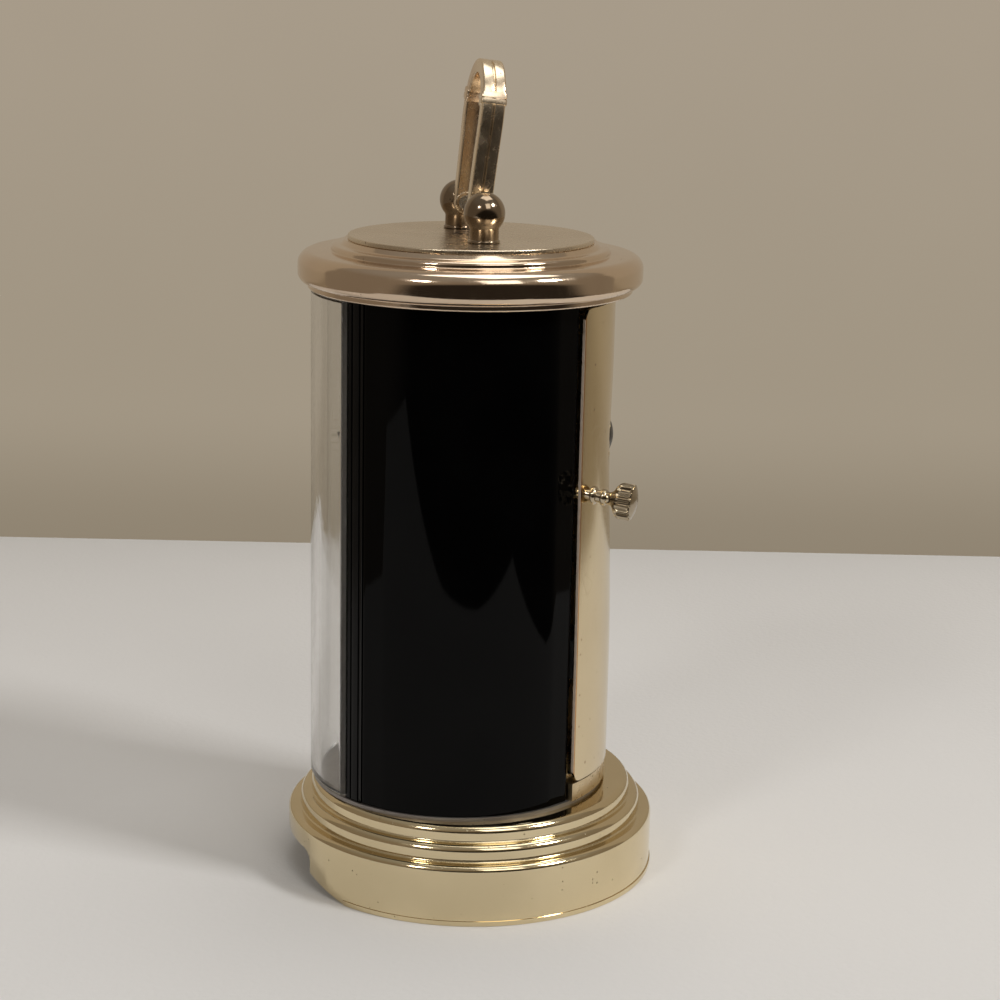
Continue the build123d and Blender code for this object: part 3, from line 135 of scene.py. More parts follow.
# %% Spin an outline as a lathe does
def lathe(bm, outline, place, axis=(0, 0, 1), steps=192):
    """Spin a closed outline of (radius, distance along the axis) round an axis through place."""
    axis = Vector(axis).normalized()
    side = axis.orthogonal().normalized() if abs(axis.z) < 0.99 else Vector((1, 0, 0))
    other = axis.cross(side)
    rows = []
    for radius, along in outline:
        if radius < 1e-6:
            rows.append([bm.verts.new(Vector(place) + axis * along)])
            continue
        row = []
        for k in range(steps):
            angle = 2 * math.pi * k / steps
            out = side * math.cos(angle) + other * math.sin(angle)
            row.append(bm.verts.new(Vector(place) + axis * along + out * radius))
        rows.append(row)
    for i, row in enumerate(rows):
        following = rows[(i + 1) % len(rows)]
        if len(row) > 1 or len(following) > 1:
            bridge(bm, row, following)


# %% Lift an outline into an upright strip
def on_case(radius, angle):
    """The level point at a radius and an angle in degrees round the axis of the case."""
    turn = math.radians(angle)
    return Vector((radius * math.cos(turn), case_y + radius * math.sin(turn)))


def around_case(inner, outer, start, end, rounding=0.2, fineness=1.5):
    """Outline of a piece of the case wall between two radii and two angles."""
    steps = max(2, math.ceil(abs(end - start) / fineness))
    ease_out = math.degrees(rounding / outer)
    ease_in = math.degrees(rounding / inner)
    points = []
    for k in range(steps + 1):
        points.append(on_case(outer, start + ease_out + (end - start - 2 * ease_out) * k / steps))
    for share in (0.35, 0.7):
        points.append(on_case(outer - rounding * share**2.2, end - ease_out * (1 - share)))
    points.append(on_case(outer - rounding, end))
    points.append(on_case(inner + rounding, end))
    for k in range(steps + 1):
        points.append(on_case(inner, end - ease_in - (end - start - 2 * ease_in) * k / steps))
    points.append(on_case(inner + rounding, start))
    points.append(on_case(outer - rounding, start))
    for share in (0.7, 0.35):
        points.append(on_case(outer - rounding * share**2.2, start + ease_out * (1 - share)))
    return points


def upright(bm, outline, foot, top, ease=0.12):
    """Lift a level outline from foot to top, with eased ends."""
    count = len(outline)
    area = sum(outline[i - 1].cross(outline[i]) for i in range(count))
    inward = []
    for i in range(count):
        before = (outline[i] - outline[i - 1]).normalized()
        after = (outline[(i + 1) % count] - outline[i]).normalized()
        along = (before + after).normalized()
        inward.append(Vector((-along.y, along.x)) * (1 if area > 0 else -1))
    rows = []
    for height, inset in ((foot, ease), (foot + ease, 0), (top - ease, 0), (top, ease)):
        rows.append([bm.verts.new((*(outline[i] + inward[i] * inset), height)) for i in range(count)])
    for lower, upper in zip(rows, rows[1:]):
        bridge(bm, lower, upper)
    caps = [bm.faces.new(rows[0]), bm.faces.new(rows[-1])]
    bmesh.ops.triangulate(bm, faces=caps, quad_method="BEAUTY", ngon_method="BEAUTY")


print("tools for turned and bent pieces are ready")

# %% [markdown]
# ## Finishes: what wears and marks a surface
# Spun and polished brass isn't one flat yellow. Under the polish there are faint rings
# from the lathe, hair-thin scratches from cloths and fingers, small dark specks where
# the lacquer failed, and slow changes of tone where air has reached the metal. Each of
# these effects is wanted in several finishes, so each becomes a node group that puts out
# a mask. The shaders themselves stay in the materials.

# %% Helpers for node trees
def fill(tree, node, inputs):
    """Set a node's inputs from values, and link them from sockets."""
    for name, value in inputs.items():
        if isinstance(value, bpy.types.NodeSocket):
            tree.links.new(value, node.inputs[name])
        else:
            node.inputs[name].default_value = value


def add(tree, kind, inputs={}, **settings):
    """Add a node with its settings and inputs."""
    node = tree.nodes.new(kind)
    for name, value in settings.items():
        setattr(node, name, value)
    fill(tree, node, inputs)
    return node


def calc(tree, operation, first, second=0.0, third=0.0, clamp=False):
    inputs = {0: first, 1: second, 2: third}
    return add(tree, "ShaderNodeMath", inputs, operation=operation, use_clamp=clamp).outputs[0]


def times(tree, first, second):
    return calc(tree, "MULTIPLY", first, second)


def total(tree, *values, clamp=False):
    """Sum of several values; clamp keeps the whole between 0 and 1."""
    sum_so_far = values[0]
    for i, value in enumerate(values[1:], 2):
        sum_so_far = calc(tree, "ADD", sum_so_far, value, clamp=clamp and i == len(values))
    return sum_so_far


def between(tree, value, low, high, to_low=0.0, to_high=1.0):
    """Spread a value from one range to another, with soft ends."""
    inputs = {"Value": value, "From Min": low, "From Max": high, "To Min": to_low, "To Max": to_high}
    return add(tree, "ShaderNodeMapRange", inputs, interpolation_type="SMOOTHSTEP").outputs["Result"]


def blend_colour(tree, share, first, second):
    """Mix two colours, each a socket or three values."""
    node = add(tree, "ShaderNodeMix", {0: share}, data_type="RGBA")
    for index, value in ((6, first), (7, second)):
        fill(tree, node, {index: (*value, 1.0) if isinstance(value, tuple) else value})
    return node.outputs[2]


def noise(tree, place, scale, detail=2.0, **more):
    inputs = {"Vector": place, "Scale": scale, "Detail": detail, **more}
    return add(tree, "ShaderNodeTexNoise", inputs).outputs["Fac"]


def mapped(tree, place, **moves):
    """Coordinates that are moved, turned or stretched before a texture uses them."""
    return add(tree, "ShaderNodeMapping", {"Vector": place, **moves}).outputs[0]


def split(tree, place):
    return add(tree, "ShaderNodeSeparateXYZ", {0: place}).outputs


def level_reach(tree, x, y):
    """The level part of a place, and its distance from the upright axis."""
    level = add(tree, "ShaderNodeCombineXYZ", {0: x, 1: y}).outputs[0]
    return level, add(tree, "ShaderNodeVectorMath", {0: level}, operation="LENGTH").outputs["Value"]


def effect_group(name, strengths, masks):
    """An empty shader group that takes coordinates and named strengths and puts out named masks."""
    group = bpy.data.node_groups.new(name, "ShaderNodeTree")
    group.interface.new_socket("Vector", in_out="INPUT", socket_type="NodeSocketVector")
    for label, value in strengths.items():
        group.interface.new_socket(label, in_out="INPUT", socket_type="NodeSocketFloat").default_value = value
    for label in masks:
        group.interface.new_socket(label, in_out="OUTPUT", socket_type="NodeSocketFloat")
    return group, group.nodes.new("NodeGroupInput").outputs, group.nodes.new("NodeGroupOutput").inputs


# %% Rings left by the lathe
tree, given, put_out = effect_group("lathe_rings", {"Spacing": 0.00025}, ["Rings"])
x, y, z = split(tree, given["Vector"])
level, reach = level_reach(tree, x, y)
travel = calc(tree, "ADD", z, times(tree, reach, 0.8))
heading = add(tree, "ShaderNodeVectorMath", {0: level}, operation="NORMALIZE").outputs[0]
slow = add(tree, "ShaderNodeVectorMath", {0: heading, 3: 1.3}, operation="SCALE").outputs[0]
lifted = add(tree, "ShaderNodeCombineXYZ", {2: calc(tree, "DIVIDE", travel, given["Spacing"])}).outputs[0]
joined = add(tree, "ShaderNodeVectorMath", {0: slow, 1: lifted}, operation="ADD").outputs[0]
tree.links.new(noise(tree, joined, 1.0), put_out["Rings"])

# %% Hair-thin scratches
tree, given, put_out = effect_group("hair_scratches", {"Scale": 400.0, "Width": 0.012}, ["Scratches"])
layers = []
for turn, stretch, patch_scale in (
    ((0.3, 0.2, 0.5), (1.0, 0.10, 0.3), 90.0), ((1.1, 0.7, 2.0), (0.12, 1.0, 0.4), 130.0),
):
    stroke_place = mapped(tree, given["Vector"], Rotation=turn, Scale=stretch)
    stroke = noise(tree, stroke_place, given["Scale"], 1.0, Distortion=0.6)
    away = calc(tree, "ABSOLUTE", calc(tree, "SUBTRACT", stroke, 0.5))
    line = calc(tree, "DIVIDE", away, given["Width"], clamp=True)
    kept = between(tree, noise(tree, given["Vector"], patch_scale, 1.0), 0.5, 0.62)
    layers.append(times(tree, calc(tree, "SUBTRACT", 1.0, line), kept))
tree.links.new(calc(tree, "MAXIMUM", *layers), put_out["Scratches"])

# %% Specks and pits
tree, given, put_out = effect_group("lacquer_specks", {"Scale": 1500.0, "Share": 0.2}, ["Specks"])
cells = add(tree, "ShaderNodeTexVoronoi", {"Vector": given["Vector"], "Scale": given["Scale"]}).outputs
luck, fate = add(tree, "ShaderNodeSeparateColor", {0: cells["Color"]}).outputs[:2]
chosen = calc(tree, "LESS_THAN", luck, given["Share"])
depth = calc(tree, "SUBTRACT", times(tree, fate, 0.3), cells["Distance"])
tree.links.new(times(tree, between(tree, depth, -0.05, 0.1), chosen), put_out["Specks"])

# %% Slow changes of tone
tree, given, put_out = effect_group("tone_drift", {"Scale": 60.0}, ["Drift", "Cloud"])
wide = noise(tree, given["Vector"], given["Scale"], 3.0)
small = noise(tree, given["Vector"], times(tree, given["Scale"], 9.0), 4.0)
tree.links.new(between(tree, wide, 0.35, 0.7), put_out["Drift"])
tree.links.new(between(tree, small, 0.3, 0.75), put_out["Cloud"])
print("effect groups", [g.name for g in bpy.data.node_groups])

# %% [markdown]
# ## Brass in its several states
# The base is a clean pale yellow, the cap is pinker because its lacquer has aged, and
# the turned posts and knob are browner. One recipe makes them all: a metal whose colour
# moves between a bright and a dull tone, whose roughness follows the lathe rings and
# scratches, and whose surface is bumped by the same masks so that they agree.

# %% Recipe for brass
finishes = {}


def new_finish(name):
    """The tree of a new material, its shader and the coordinates of the piece."""
    finishes[name] = bpy.data.materials.new(name)
    finishes[name].use_nodes = True
    tree = finishes[name].node_tree
    return tree, tree.nodes["Principled BSDF"], add(tree, "ShaderNodeTexCoord").outputs["Object"]


def effect(tree, group, place, **strengths):
    """Use an effect group in a finish and return its masks."""
    inputs = {"Vector": place, **strengths}
    return add(tree, "ShaderNodeGroup", inputs, node_tree=bpy.data.node_groups[group]).outputs


def bumped(tree, shader, height, strength, distance=0.00001):
    """Tilt the surface as if it had this height."""
    bump = add(tree, "ShaderNodeBump", {"Height": height, "Strength": strength, "Distance": distance})
    tree.links.new(bump.outputs[0], shader.inputs["Normal"])


def brass(name, bright, dull, gloss, axis_y=0.0, rings=0.3, spacing=0.00025, scratches=0.3,
          specks=0.1, drift=0.5, grain=0.0):
    """A brass finish; gloss is the roughness of the clean metal, the rest are strengths of the marks."""
    tree, shader, place = new_finish(name)
    centred = mapped(tree, place, Location=(0, -axis_y * MM, 0))
    ring = effect(tree, "lathe_rings", centred, Spacing=spacing)["Rings"]
    scratch = effect(tree, "hair_scratches", centred)["Scratches"]
    speck = effect(tree, "lacquer_specks", centred, Share=specks)["Specks"]
    tone = effect(tree, "tone_drift", centred)
    colour = blend_colour(tree, times(tree, tone["Drift"], drift), bright, dull)
    stain = blend_colour(tree, times(tree, speck, 0.6), colour, tuple(0.35 * c for c in dull))
    rough = calc(tree, "MULTIPLY_ADD", ring, 0.10 * rings, gloss - 0.05 * rings)
    scuffed, clouded = times(tree, scratch, 0.16 * scratches), times(tree, tone["Cloud"], 0.05 + grain * 0.1)
    rough = total(tree, rough, scuffed, times(tree, speck, 0.25), clouded, clamp=True)
    fill(tree, shader, {"Base Color": stain, "Metallic": 1.0, "Roughness": rough})
    cut = times(tree, scratch, -0.5 * scratches)
    height = total(tree, times(tree, ring, rings), cut, times(tree, speck, -0.4))
    if grain:
        height = total(tree, height, times(tree, noise(tree, centred, 1400.0, 3.0), grain))
    bumped(tree, shader, height, 0.35)


# %% The brass finishes of this clock
brass(
    "base_brass", (0.79, 0.67, 0.44), (0.66, 0.55, 0.35), 0.08,
    rings=0.2, scratches=0.25, specks=0.08, drift=0.6, grain=0.10,
)
brass(
    "cap_brass", (0.74, 0.60, 0.45), (0.64, 0.49, 0.37), 0.09, axis_y=cap_y,
    rings=0.25, scratches=0.35, specks=0.05, drift=0.6, grain=0.1,
)
brass(
    "disc_brass", (0.70, 0.60, 0.46), (0.60, 0.50, 0.37), 0.25, axis_y=cap_y,
    rings=0.25, spacing=0.0002, scratches=0.2, specks=0.05, drift=0.6, grain=0.05,
)
brass(
    "turned_brass", (0.38, 0.30, 0.21), (0.17, 0.12, 0.085), 0.10, axis_y=cap_y,
    rings=0.2, scratches=0.4, specks=0.25, drift=0.9, grain=0.15,
)
brass(
    "knob_brass", (0.56, 0.48, 0.35), (0.30, 0.24, 0.16), 0.14,
    rings=0.15, scratches=0.3, specks=0.2, drift=0.7, grain=0.2,
)
brass(
    "handle_brass", (0.82, 0.69, 0.51), (0.60, 0.44, 0.32), 0.21, axis_y=cap_y,
    rings=0.0, scratches=0.5, specks=0.2, drift=0.8, grain=0.35,
)
brass(
    "frame_brass", (0.74, 0.61, 0.40), (0.60, 0.47, 0.29), 0.24, axis_y=case_y,
    rings=0.0, scratches=0.5, specks=0.2, drift=0.6, grain=0.7,
)
brass(
    "cannon_brass", (0.80, 0.62, 0.34), (0.66, 0.48, 0.25), 0.20,
    rings=0.2, scratches=0.2, specks=0.05, drift=0.4,
)
print("brass finishes", ", ".join(finishes))

# %% [markdown]
# ## The door's rolled sheet
# The door is sheared from rolled sheet and bent. Its face carries faint upright brushing
# and many small pits. The sheared edge is raw: paler, pinker and rough, with a thin
# orange-brown line where the lacquer stops. The edge is found from the angle round the
# case, which the door's own coordinates give, so it stays right when the door swings.

# %% Finish of the door
door_start, door_end = 49.6, 127.4


def rolled_door():
    tree, shader, place = new_finish("door_brass")
    centred = mapped(tree, place, Location=(0, -case_y * MM, 0))
    x, y = split(tree, centred)[:2]
    reach = level_reach(tree, x, y)[1]
    past_edge = calc(tree, "SUBTRACT", calc(tree, "ARCTAN2", y, x), math.radians(door_start))
    arc = times(tree, past_edge, door_radius * MM)
    raw = calc(tree, "SUBTRACT", 1.0, between(tree, arc, 0.00002, 0.00007))
    line = calc(tree, "SUBTRACT", 1.0, between(tree, arc, 0.00028, 0.0004))
    line = times(tree, line, between(tree, reach, 0.02335, 0.02362))
    streak = noise(tree, mapped(tree, centred, Scale=(1.0, 1.0, 0.03)), 1500.0)
    scratch = effect(tree, "hair_scratches", centred, Scale=300.0)["Scratches"]
    speck = effect(tree, "lacquer_specks", centred, Scale=1100.0, Share=0.16)["Specks"]
    drift = effect(tree, "tone_drift", centred, Scale=45.0)["Drift"]
    colour = blend_colour(tree, times(tree, drift, 0.5), (0.76, 0.64, 0.43), (0.64, 0.52, 0.34))
    colour = blend_colour(tree, times(tree, speck, 0.6), colour, (0.30, 0.19, 0.10))
    colour = blend_colour(tree, times(tree, line, 0.85), colour, (0.48, 0.23, 0.07))
    colour = blend_colour(tree, raw, colour, (0.60, 0.50, 0.41))
    metal = calc(tree, "MULTIPLY_ADD", raw, -0.75, 1.0)
    rough = calc(tree, "MULTIPLY_ADD", streak, 0.10, 0.10)
    rough = total(tree, rough, times(tree, scratch, 0.08), times(tree, raw, 0.35), clamp=True)
    fill(tree, shader, {"Base Color": colour, "Metallic": metal, "Roughness": rough})
    chatter = times(tree, noise(tree, centred, 1800.0, 3.0), times(tree, raw, 5.0))
    bumped(tree, shader, total(tree, times(tree, streak, 0.25), times(tree, speck, -0.5), chatter), 0.4)


rolled_door()
print("door finish", finishes["door_brass"].name)

# %% [markdown]
# ## Black, clear, painted and plain pieces
# The rest of the finishes share a second recipe: a plastic or paint whose colour drifts
# a little, with a fine moulded or ground texture in its bump, and dust or wear in its
# roughness. Metals that aren't brass use it too, with the metallic value turned up.

# %% Recipe for plastic, paint and plain metal
def plain(name, colour, second, rough, metallic=0.0, texture=1500.0, relief=0.3, drift=80.0,
          sheen=0.5, brushed=(1, 1, 1), specks=0.0):
    """A moulded, painted or plain metal finish; second is the tone that its colour drifts to."""
    tree, shader, place = new_finish(name)
    tone = effect(tree, "tone_drift", place, Scale=drift)
    mixed = blend_colour(tree, tone["Drift"], colour, second)
    if specks:
        spots = effect(tree, "lacquer_specks", place, Share=specks)["Specks"]
        mixed = blend_colour(tree, times(tree, spots, 0.5), mixed, tuple(0.4 * c for c in second))
    grain = noise(tree, mapped(tree, place, Scale=brushed), texture, 3.0)
    value = total(tree, times(tree, tone["Cloud"], rough * 0.35), rough * 0.8)
    value = total(tree, value, times(tree, grain, rough * 0.15), clamp=True)
    fill(tree, shader, {
        "Base Color": mixed, "Metallic": metallic, "Roughness": value, "Specular IOR Level": sheen,
    })
    bumped(tree, shader, grain, relief)
    return tree, shader, place


# %% Black, white and coloured finishes
plain("panel_black", (0.0006, 0.0006, 0.0007), (0.0012, 0.0012, 0.0013), 0.04, texture=900, relief=0.015,
      specks=0.02, sheen=0.085)
plain("frame_black", (0.0015, 0.0015, 0.0017), (0.003, 0.003, 0.0033), 0.20, texture=1200, relief=0.15,
      sheen=0.16)
plain("dial_white", (0.80, 0.79, 0.75), (0.76, 0.75, 0.70), 0.55, texture=2500, relief=0.15)
plain("dial_ink", (0.010, 0.010, 0.011), (0.018, 0.018, 0.019), 0.45, texture=2500, relief=0.2)
plain("hand_black", (0.010, 0.010, 0.010), (0.016, 0.016, 0.016), 0.30, texture=1800, relief=0.2)
plain("hand_second", (0.42, 0.03, 0.02), (0.36, 0.02, 0.015), 0.30, texture=1800, relief=0.2)
plain("button_black", (0.012, 0.012, 0.012), (0.02, 0.02, 0.02), 0.32, relief=0.5, specks=0.05)
plain("movement_plastic", (0.020, 0.020, 0.021), (0.030, 0.030, 0.031), 0.48, texture=1300, relief=0.8)
plain("wheel_plastic", (0.72, 0.71, 0.66), (0.66, 0.64, 0.58), 0.42, texture=1700)
plain("knob_plastic", (0.022, 0.022, 0.023), (0.032, 0.032, 0.033), 0.40, texture=1300, relief=0.6)
plain("board_green", (0.020, 0.115, 0.045), (0.028, 0.140, 0.055), 0.32, texture=2200, relief=0.5)
plain("sounder_black", (0.018, 0.018, 0.018), (0.028, 0.028, 0.028), 0.38, relief=0.4)
plain("pad_felt", (0.020, 0.022, 0.020), (0.035, 0.036, 0.034), 0.92, texture=2600, relief=1.0, drift=300.0)

# %% Steel, nickel and the magnets
along_z, along_y = (1, 1, 0.1), (1, 0.08, 1)
plain("floor_plate", (0.30, 0.28, 0.26), (0.22, 0.20, 0.19), 0.38, 0.8, texture=1600, relief=0.5, specks=0.2)
plain("hand_alarm", (0.76, 0.58, 0.28), (0.66, 0.48, 0.22), 0.28, 1.0, texture=1800, relief=0.2,
      brushed=along_z)
plain("bright_steel", (0.60, 0.59, 0.57), (0.48, 0.47, 0.45), 0.24, 1.0, brushed=along_z)
plain("plate_grey", (0.42, 0.41, 0.39), (0.34, 0.33, 0.31), 0.40, 0.9, texture=1400, relief=0.5,
      brushed=along_y)
plain("plate_steel", (0.030, 0.030, 0.031), (0.045, 0.044, 0.043), 0.50, 0.2, texture=1200, relief=0.7,
      specks=0.1)
plain("magnet_dark", (0.055, 0.053, 0.052), (0.035, 0.034, 0.033), 0.50, 0.4, relief=0.7)
plain("spring_nickel", (0.66, 0.64, 0.60), (0.55, 0.52, 0.47), 0.26, 1.0, texture=1800)
print("finishes so far", len(finishes))

# %% [markdown]
# ## Three finishes that need their own build
# The lens is clear moulded plastic with the faintest haze. The coil is copper wire laid
# in turns, so its bump is a wave along the coil. The battery has a printed sleeve with a
# plain band at one end, found from its height.

# %% Lens, coil and battery
def clear_lens():
    tree, shader, place = new_finish("lens_clear")
    haze = noise(tree, mapped(tree, place, Scale=(1.0, 1.0, 0.04)), 700.0, 3.0)
    colour = blend_colour(tree, haze, (0.97, 0.965, 0.96), (0.86, 0.86, 0.85))
    x, y = split(tree, place)[:2]
    aside = calc(tree, "DIVIDE", calc(tree, "ABSOLUTE", x), calc(tree, "SUBTRACT", case_y * MM, y))
    edge = between(tree, aside, math.tan(math.radians(40.6)), math.tan(math.radians(40.9)))
    rough = total(tree, between(tree, haze, 0.45, 0.75, 0.02, 0.14), times(tree, edge, 0.6))
    shadow = add(tree, "ShaderNodeLightPath").outputs["Is Shadow Ray"]
    fill(tree, shader, {
        "Base Color": colour, "Metallic": 0.0, "Roughness": rough, "Transmission Weight": 1.0, "IOR": 1.49,
        "Alpha": calc(tree, "MULTIPLY_ADD", shadow, -0.85, 1.0),
    })
    bumped(tree, shader, noise(tree, place, 60.0, 1.0), 0.15, 0.0001)


def wound_copper():
    tree, shader, place = plain("winding", (0.62, 0.24, 0.10), (0.50, 0.17, 0.07), 0.28, 0.9, relief=0.2)
    wave = add(tree, "ShaderNodeTexWave", {"Vector": place, "Scale": 1800.0}, bands_direction="X")
    bumped(tree, shader, wave.outputs["Fac"], 0.9, 0.00008)


def battery_sleeve():
    dark, less_dark = (0.03, 0.03, 0.035), (0.045, 0.045, 0.05)
    tree, shader, place = plain("battery_jacket", dark, less_dark, 0.22, relief=0.15)
    height = split(tree, place)[2]
    sleeve = shader.inputs["Base Color"].links[0].from_socket
    band = blend_colour(tree, between(tree, height, 0.0372, 0.0373), sleeve, (0.62, 0.40, 0.20))
    lower, upper = between(tree, height, 0.01712, 0.01708), between(tree, height, 0.0458, 0.0459)
    ends = total(tree, lower, upper, clamp=True)
    fill(tree, shader, {"Base Color": blend_colour(tree, ends, band, (0.62, 0.60, 0.57)), "Metallic": ends})


clear_lens()
wound_copper()
battery_sleeve()
print("all finishes", len(finishes))

# %% [markdown]
# ## Finishes for the pieces that keep their drawn shape
# The works inside and the plain metal parts already have the right shape in the drawing.
# They only need their finish, which goes into their material slots. Pieces that are
# replaced below get theirs when they are made.

# %% Hand out the finishes
kept_finishes = {
    "plate_steel": "base_plate",
    "pad_felt": "base_pad",
    "floor_plate": "case_floor",
    "plate_grey": "case_roof cap_spacers stator coil_core",
    "bright_steel": "base_screws tie_rods roof_screws movement_screws handle_pins hinge_pin",
    "dial_white": "dial_plate",
    "cannon_brass": "dial_nut minute_cannon post_nuts knob_nut crystal",
    "hand_alarm": "alarm_hand",
    "hand_black": "hour_hand minute_hand",
    "hand_second": "second_hand",
    "movement_plastic": "movement_case_front movement_case_rear battery_holder battery_cover",
    "wheel_plastic": "alarm_wheel hour_wheel motion_wheel centre_wheel third_wheel second_wheel step_wheel",
    "magnet_dark": "rotor door_magnet",
    "knob_plastic": "time_set_knob alarm_set_knob",
    "winding": "coil",
    "board_green": "circuit_board",
    "spring_nickel": "alarm_contact battery_contact_low battery_contact_high",
    "sounder_black": "sounder",
    "battery_jacket": "battery",
    "frame_brass": "rear_frame",
}
for finish, names in kept_finishes.items():
    for name in names.split():
        if not nodes[name].material_slots:
            nodes[name].data.materials.append(None)
        for slot in nodes[name].material_slots:
            slot.material = finishes[finish]
print("finished", sum(len(names.split()) for names in kept_finishes.values()), "drawn pieces")


def dress(piece, finish, body, slot, *replaced):
    """Give a piece its finish, the body that carries it and the drawn nodes that it stands for."""
    piece.data.materials.append(finishes[finish])
    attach(piece, body)
    if replaced:
        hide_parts(*replaced)
    piece.data.calc_loop_triangles()
    print(piece.name, len(piece.data.loop_triangles), "triangles")


# %% [markdown]
# ## The spun base
# A disc of brass is pressed over a turning form until it takes this profile: a plain
# wall, then two beads with a fine cove under each. After spinning, an arch is cut in the
# front of the wall. A lathe tool alone can't leave that arch, so this piece is woven as a
# grid: one column for each angle, with the foot of each column lifted to the edge of the
# arch. The columns crowd together where the arch has its round corners.

# %% Edge of the arch
arch_half, arch_height, arch_round = 15.8, 5.9, 2.0
ramp_width, ramp_height = 6.6, 2.4


def arch_edge(across):
    """Height of the foot of the wall at a distance from the middle of the front."""
    across = abs(across)
    if across <= arch_half - arch_round:
        return arch_height
    if across <= arch_half:
        drop = across - (arch_half - arch_round)
        return arch_height - arch_round + math.sqrt(max(0.0, arch_round**2 - drop**2))
    return max(0.0, ramp_height * (1 - (across - arch_half) / ramp_width))


print("arch edge at 0, 15 and 18 mm:", [round(arch_edge(x), 2) for x in (0, 15, 18)])

# %% Weave the base
def woven_base():
    reaches = [0.7 * k for k in range(20)] + [13.8 + 0.1 * k for k in range(20)]
    reaches += [15.76, 15.79, 15.81, 15.9] + [16.2 + 0.5 * k for k in range(13)] + [22.4]
    side = [math.degrees(math.asin(x / base_radius)) for x in sorted(reaches)]
    angles = sorted({-90 - a for a in side} | {-90 + a for a in side})
    rest = [angles[-1] + (360 - (angles[-1] - angles[0])) * k / 140 for k in range(1, 140)]
    angles += rest
    inner = base_radius - 1.0
    foot = [(inner, 0.16), (inner + 0.04, 0.04), (inner + 0.15, 0.0), (base_radius - 0.13, 0.0)]
    foot += [(base_radius - 0.03, 0.04), (base_radius, 0.16)]
    bead = 1.1
    lower, upper = base_radius - 2.0, base_radius - 3.7
    top = eased([
        (base_radius, 1.2, 0), (base_radius, 9.4, 0.9), (lower, 9.4, 0.25), (lower, 11.95, bead),
        (upper, 11.95, 0.25), (upper, deck_top, bead), (20.0, deck_top, 0), (0, deck_top, 0),
    ], fineness=9.0)
    under = [(0, 13.3), (upper - 1, 13.3), (upper - 1, 10.95), (lower - 1, 10.95), (lower - 1, 8.4)]
    under.append((inner, 8.4))
    bm = bmesh.new()
    columns = []
    for angle in angles:
        turn = math.radians(angle)
        out = Vector((math.cos(turn), math.sin(turn), 0))
        edge = arch_edge(base_radius * math.cos(turn)) if math.sin(turn) < 0 else 0.0
        proud = 0.15 if edge < 0.05 else 0.0
        column = []
        for i, (radius, height) in enumerate(foot):
            column.append((radius + (proud if i > 2 else 0), edge + height))
        for height in (0.66, 0.78):
            column.append((base_radius + proud, max(height, edge + 0.16)))
        column.append((base_radius, max(0.82, edge + 0.16)))
        for point in top:
            column.append((point.x, max(point.y, edge + 0.16)))
        column += under
        columns.append([bm.verts.new(out * r + Vector((0, 0, z))) for r, z in column])
    for k, column in enumerate(columns):
        following = columns[(k + 1) % len(columns)]
        for i in range(len(column)):
            j = (i + 1) % len(column)
            bm.faces.new((column[i], following[i], following[j], column[j]))
    return finish_mesh("spun_base", bm, sharp=40.0)


dress(woven_base(), "base_brass", "case", "base_brass", "base_shell")

# %% [markdown]
# ## The spun cap and its top disc
# The cap is the base's partner, pressed the same way and then rolled in at the lip. Its
# profile is one closed outline, so the lathe tool makes it in one go. The top disc is a
# separate, satin-finished plate with a small rounded edge.

# %% Turn the cap and the disc
def spun_cap():
    lip, rim_foot, rim_top = 24.9, 93.3, 98.0
    outline = eased([
        (24.0, 92.4, 0.2), (lip, 92.4, 0.3), (lip, rim_foot, 0.12), (cap_radius, rim_foot, 1.4),
        (cap_radius, rim_top, 2.0), (21.4, rim_top + 0.15, 0.2), (21.3, 99.0, 0.55),
        (19.9, 99.15, 0.5), (19.3, 99.8, 0), (0, 99.8, 0), (0, 98.8, 0), (18.3, 98.8, 0),
        (18.3, 98.0, 0), (20.3, 98.0, 0), (20.3, 97.0, 0), (25.4, 97.0, 0), (25.4, 94.3, 0), (24.0, 94.3, 0),
    ], closed=True, fineness=8.0)
    bm = bmesh.new()
    lathe(bm, outline, (0, cap_y, 0), steps=240)
    return finish_mesh("spun_cap", bm, sharp=42.0)


def satin_disc():
    outline = eased([
        (0, 99.8, 0), (18.8, 99.8, 0.1), (18.8, disc_top, 0.22), (18.2, disc_top - 0.02, 0),
        (0, disc_top - 0.02, 0),
    ], closed=True, fineness=12.0)
    bm = bmesh.new()
    lathe(bm, outline, (0, cap_y, 0), steps=240)
    return finish_mesh("satin_disc", bm, sharp=50.0)


dress(spun_cap(), "cap_brass", "case", "cap_brass", "cap_shell")
dress(satin_disc(), "disc_brass", "case", "disc_brass", "top_disc")

# %% [markdown]
# ## Glossy sides and ribbed strips
# Each side is a curved panel with a hard gloss. Beside it, towards the front, runs a
# black strip with two fine grooves that catch the light as thin lines. Both have the
# same section from foot to top, so they are lifted outlines. The strips are joined by a
# flat flange behind the dial, which has a window for the works.

# %% Side panels
def mirrored(outline):
    return [Vector((-point.x, point.y)) for point in reversed(outline)]


def flattened(outline, start, end):
    """Press the outer face between two angles onto a straight line, which leaves a faint crease at each."""
    middle, half = math.radians((start + end) / 2), math.radians((end - start) / 2)
    pressed = []
    for point in outline:
        from_axis = Vector((point.x, point.y - case_y))
        angle = math.atan2(from_axis.y, from_axis.x)
        if abs(angle - middle) < half and from_axis.length > case_radius - 0.45:
            straight = case_radius * math.cos(half) / math.cos(angle - middle)
            from_axis *= straight / case_radius
        pressed.append(Vector((from_axis.x, from_axis.y + case_y)))
    return pressed


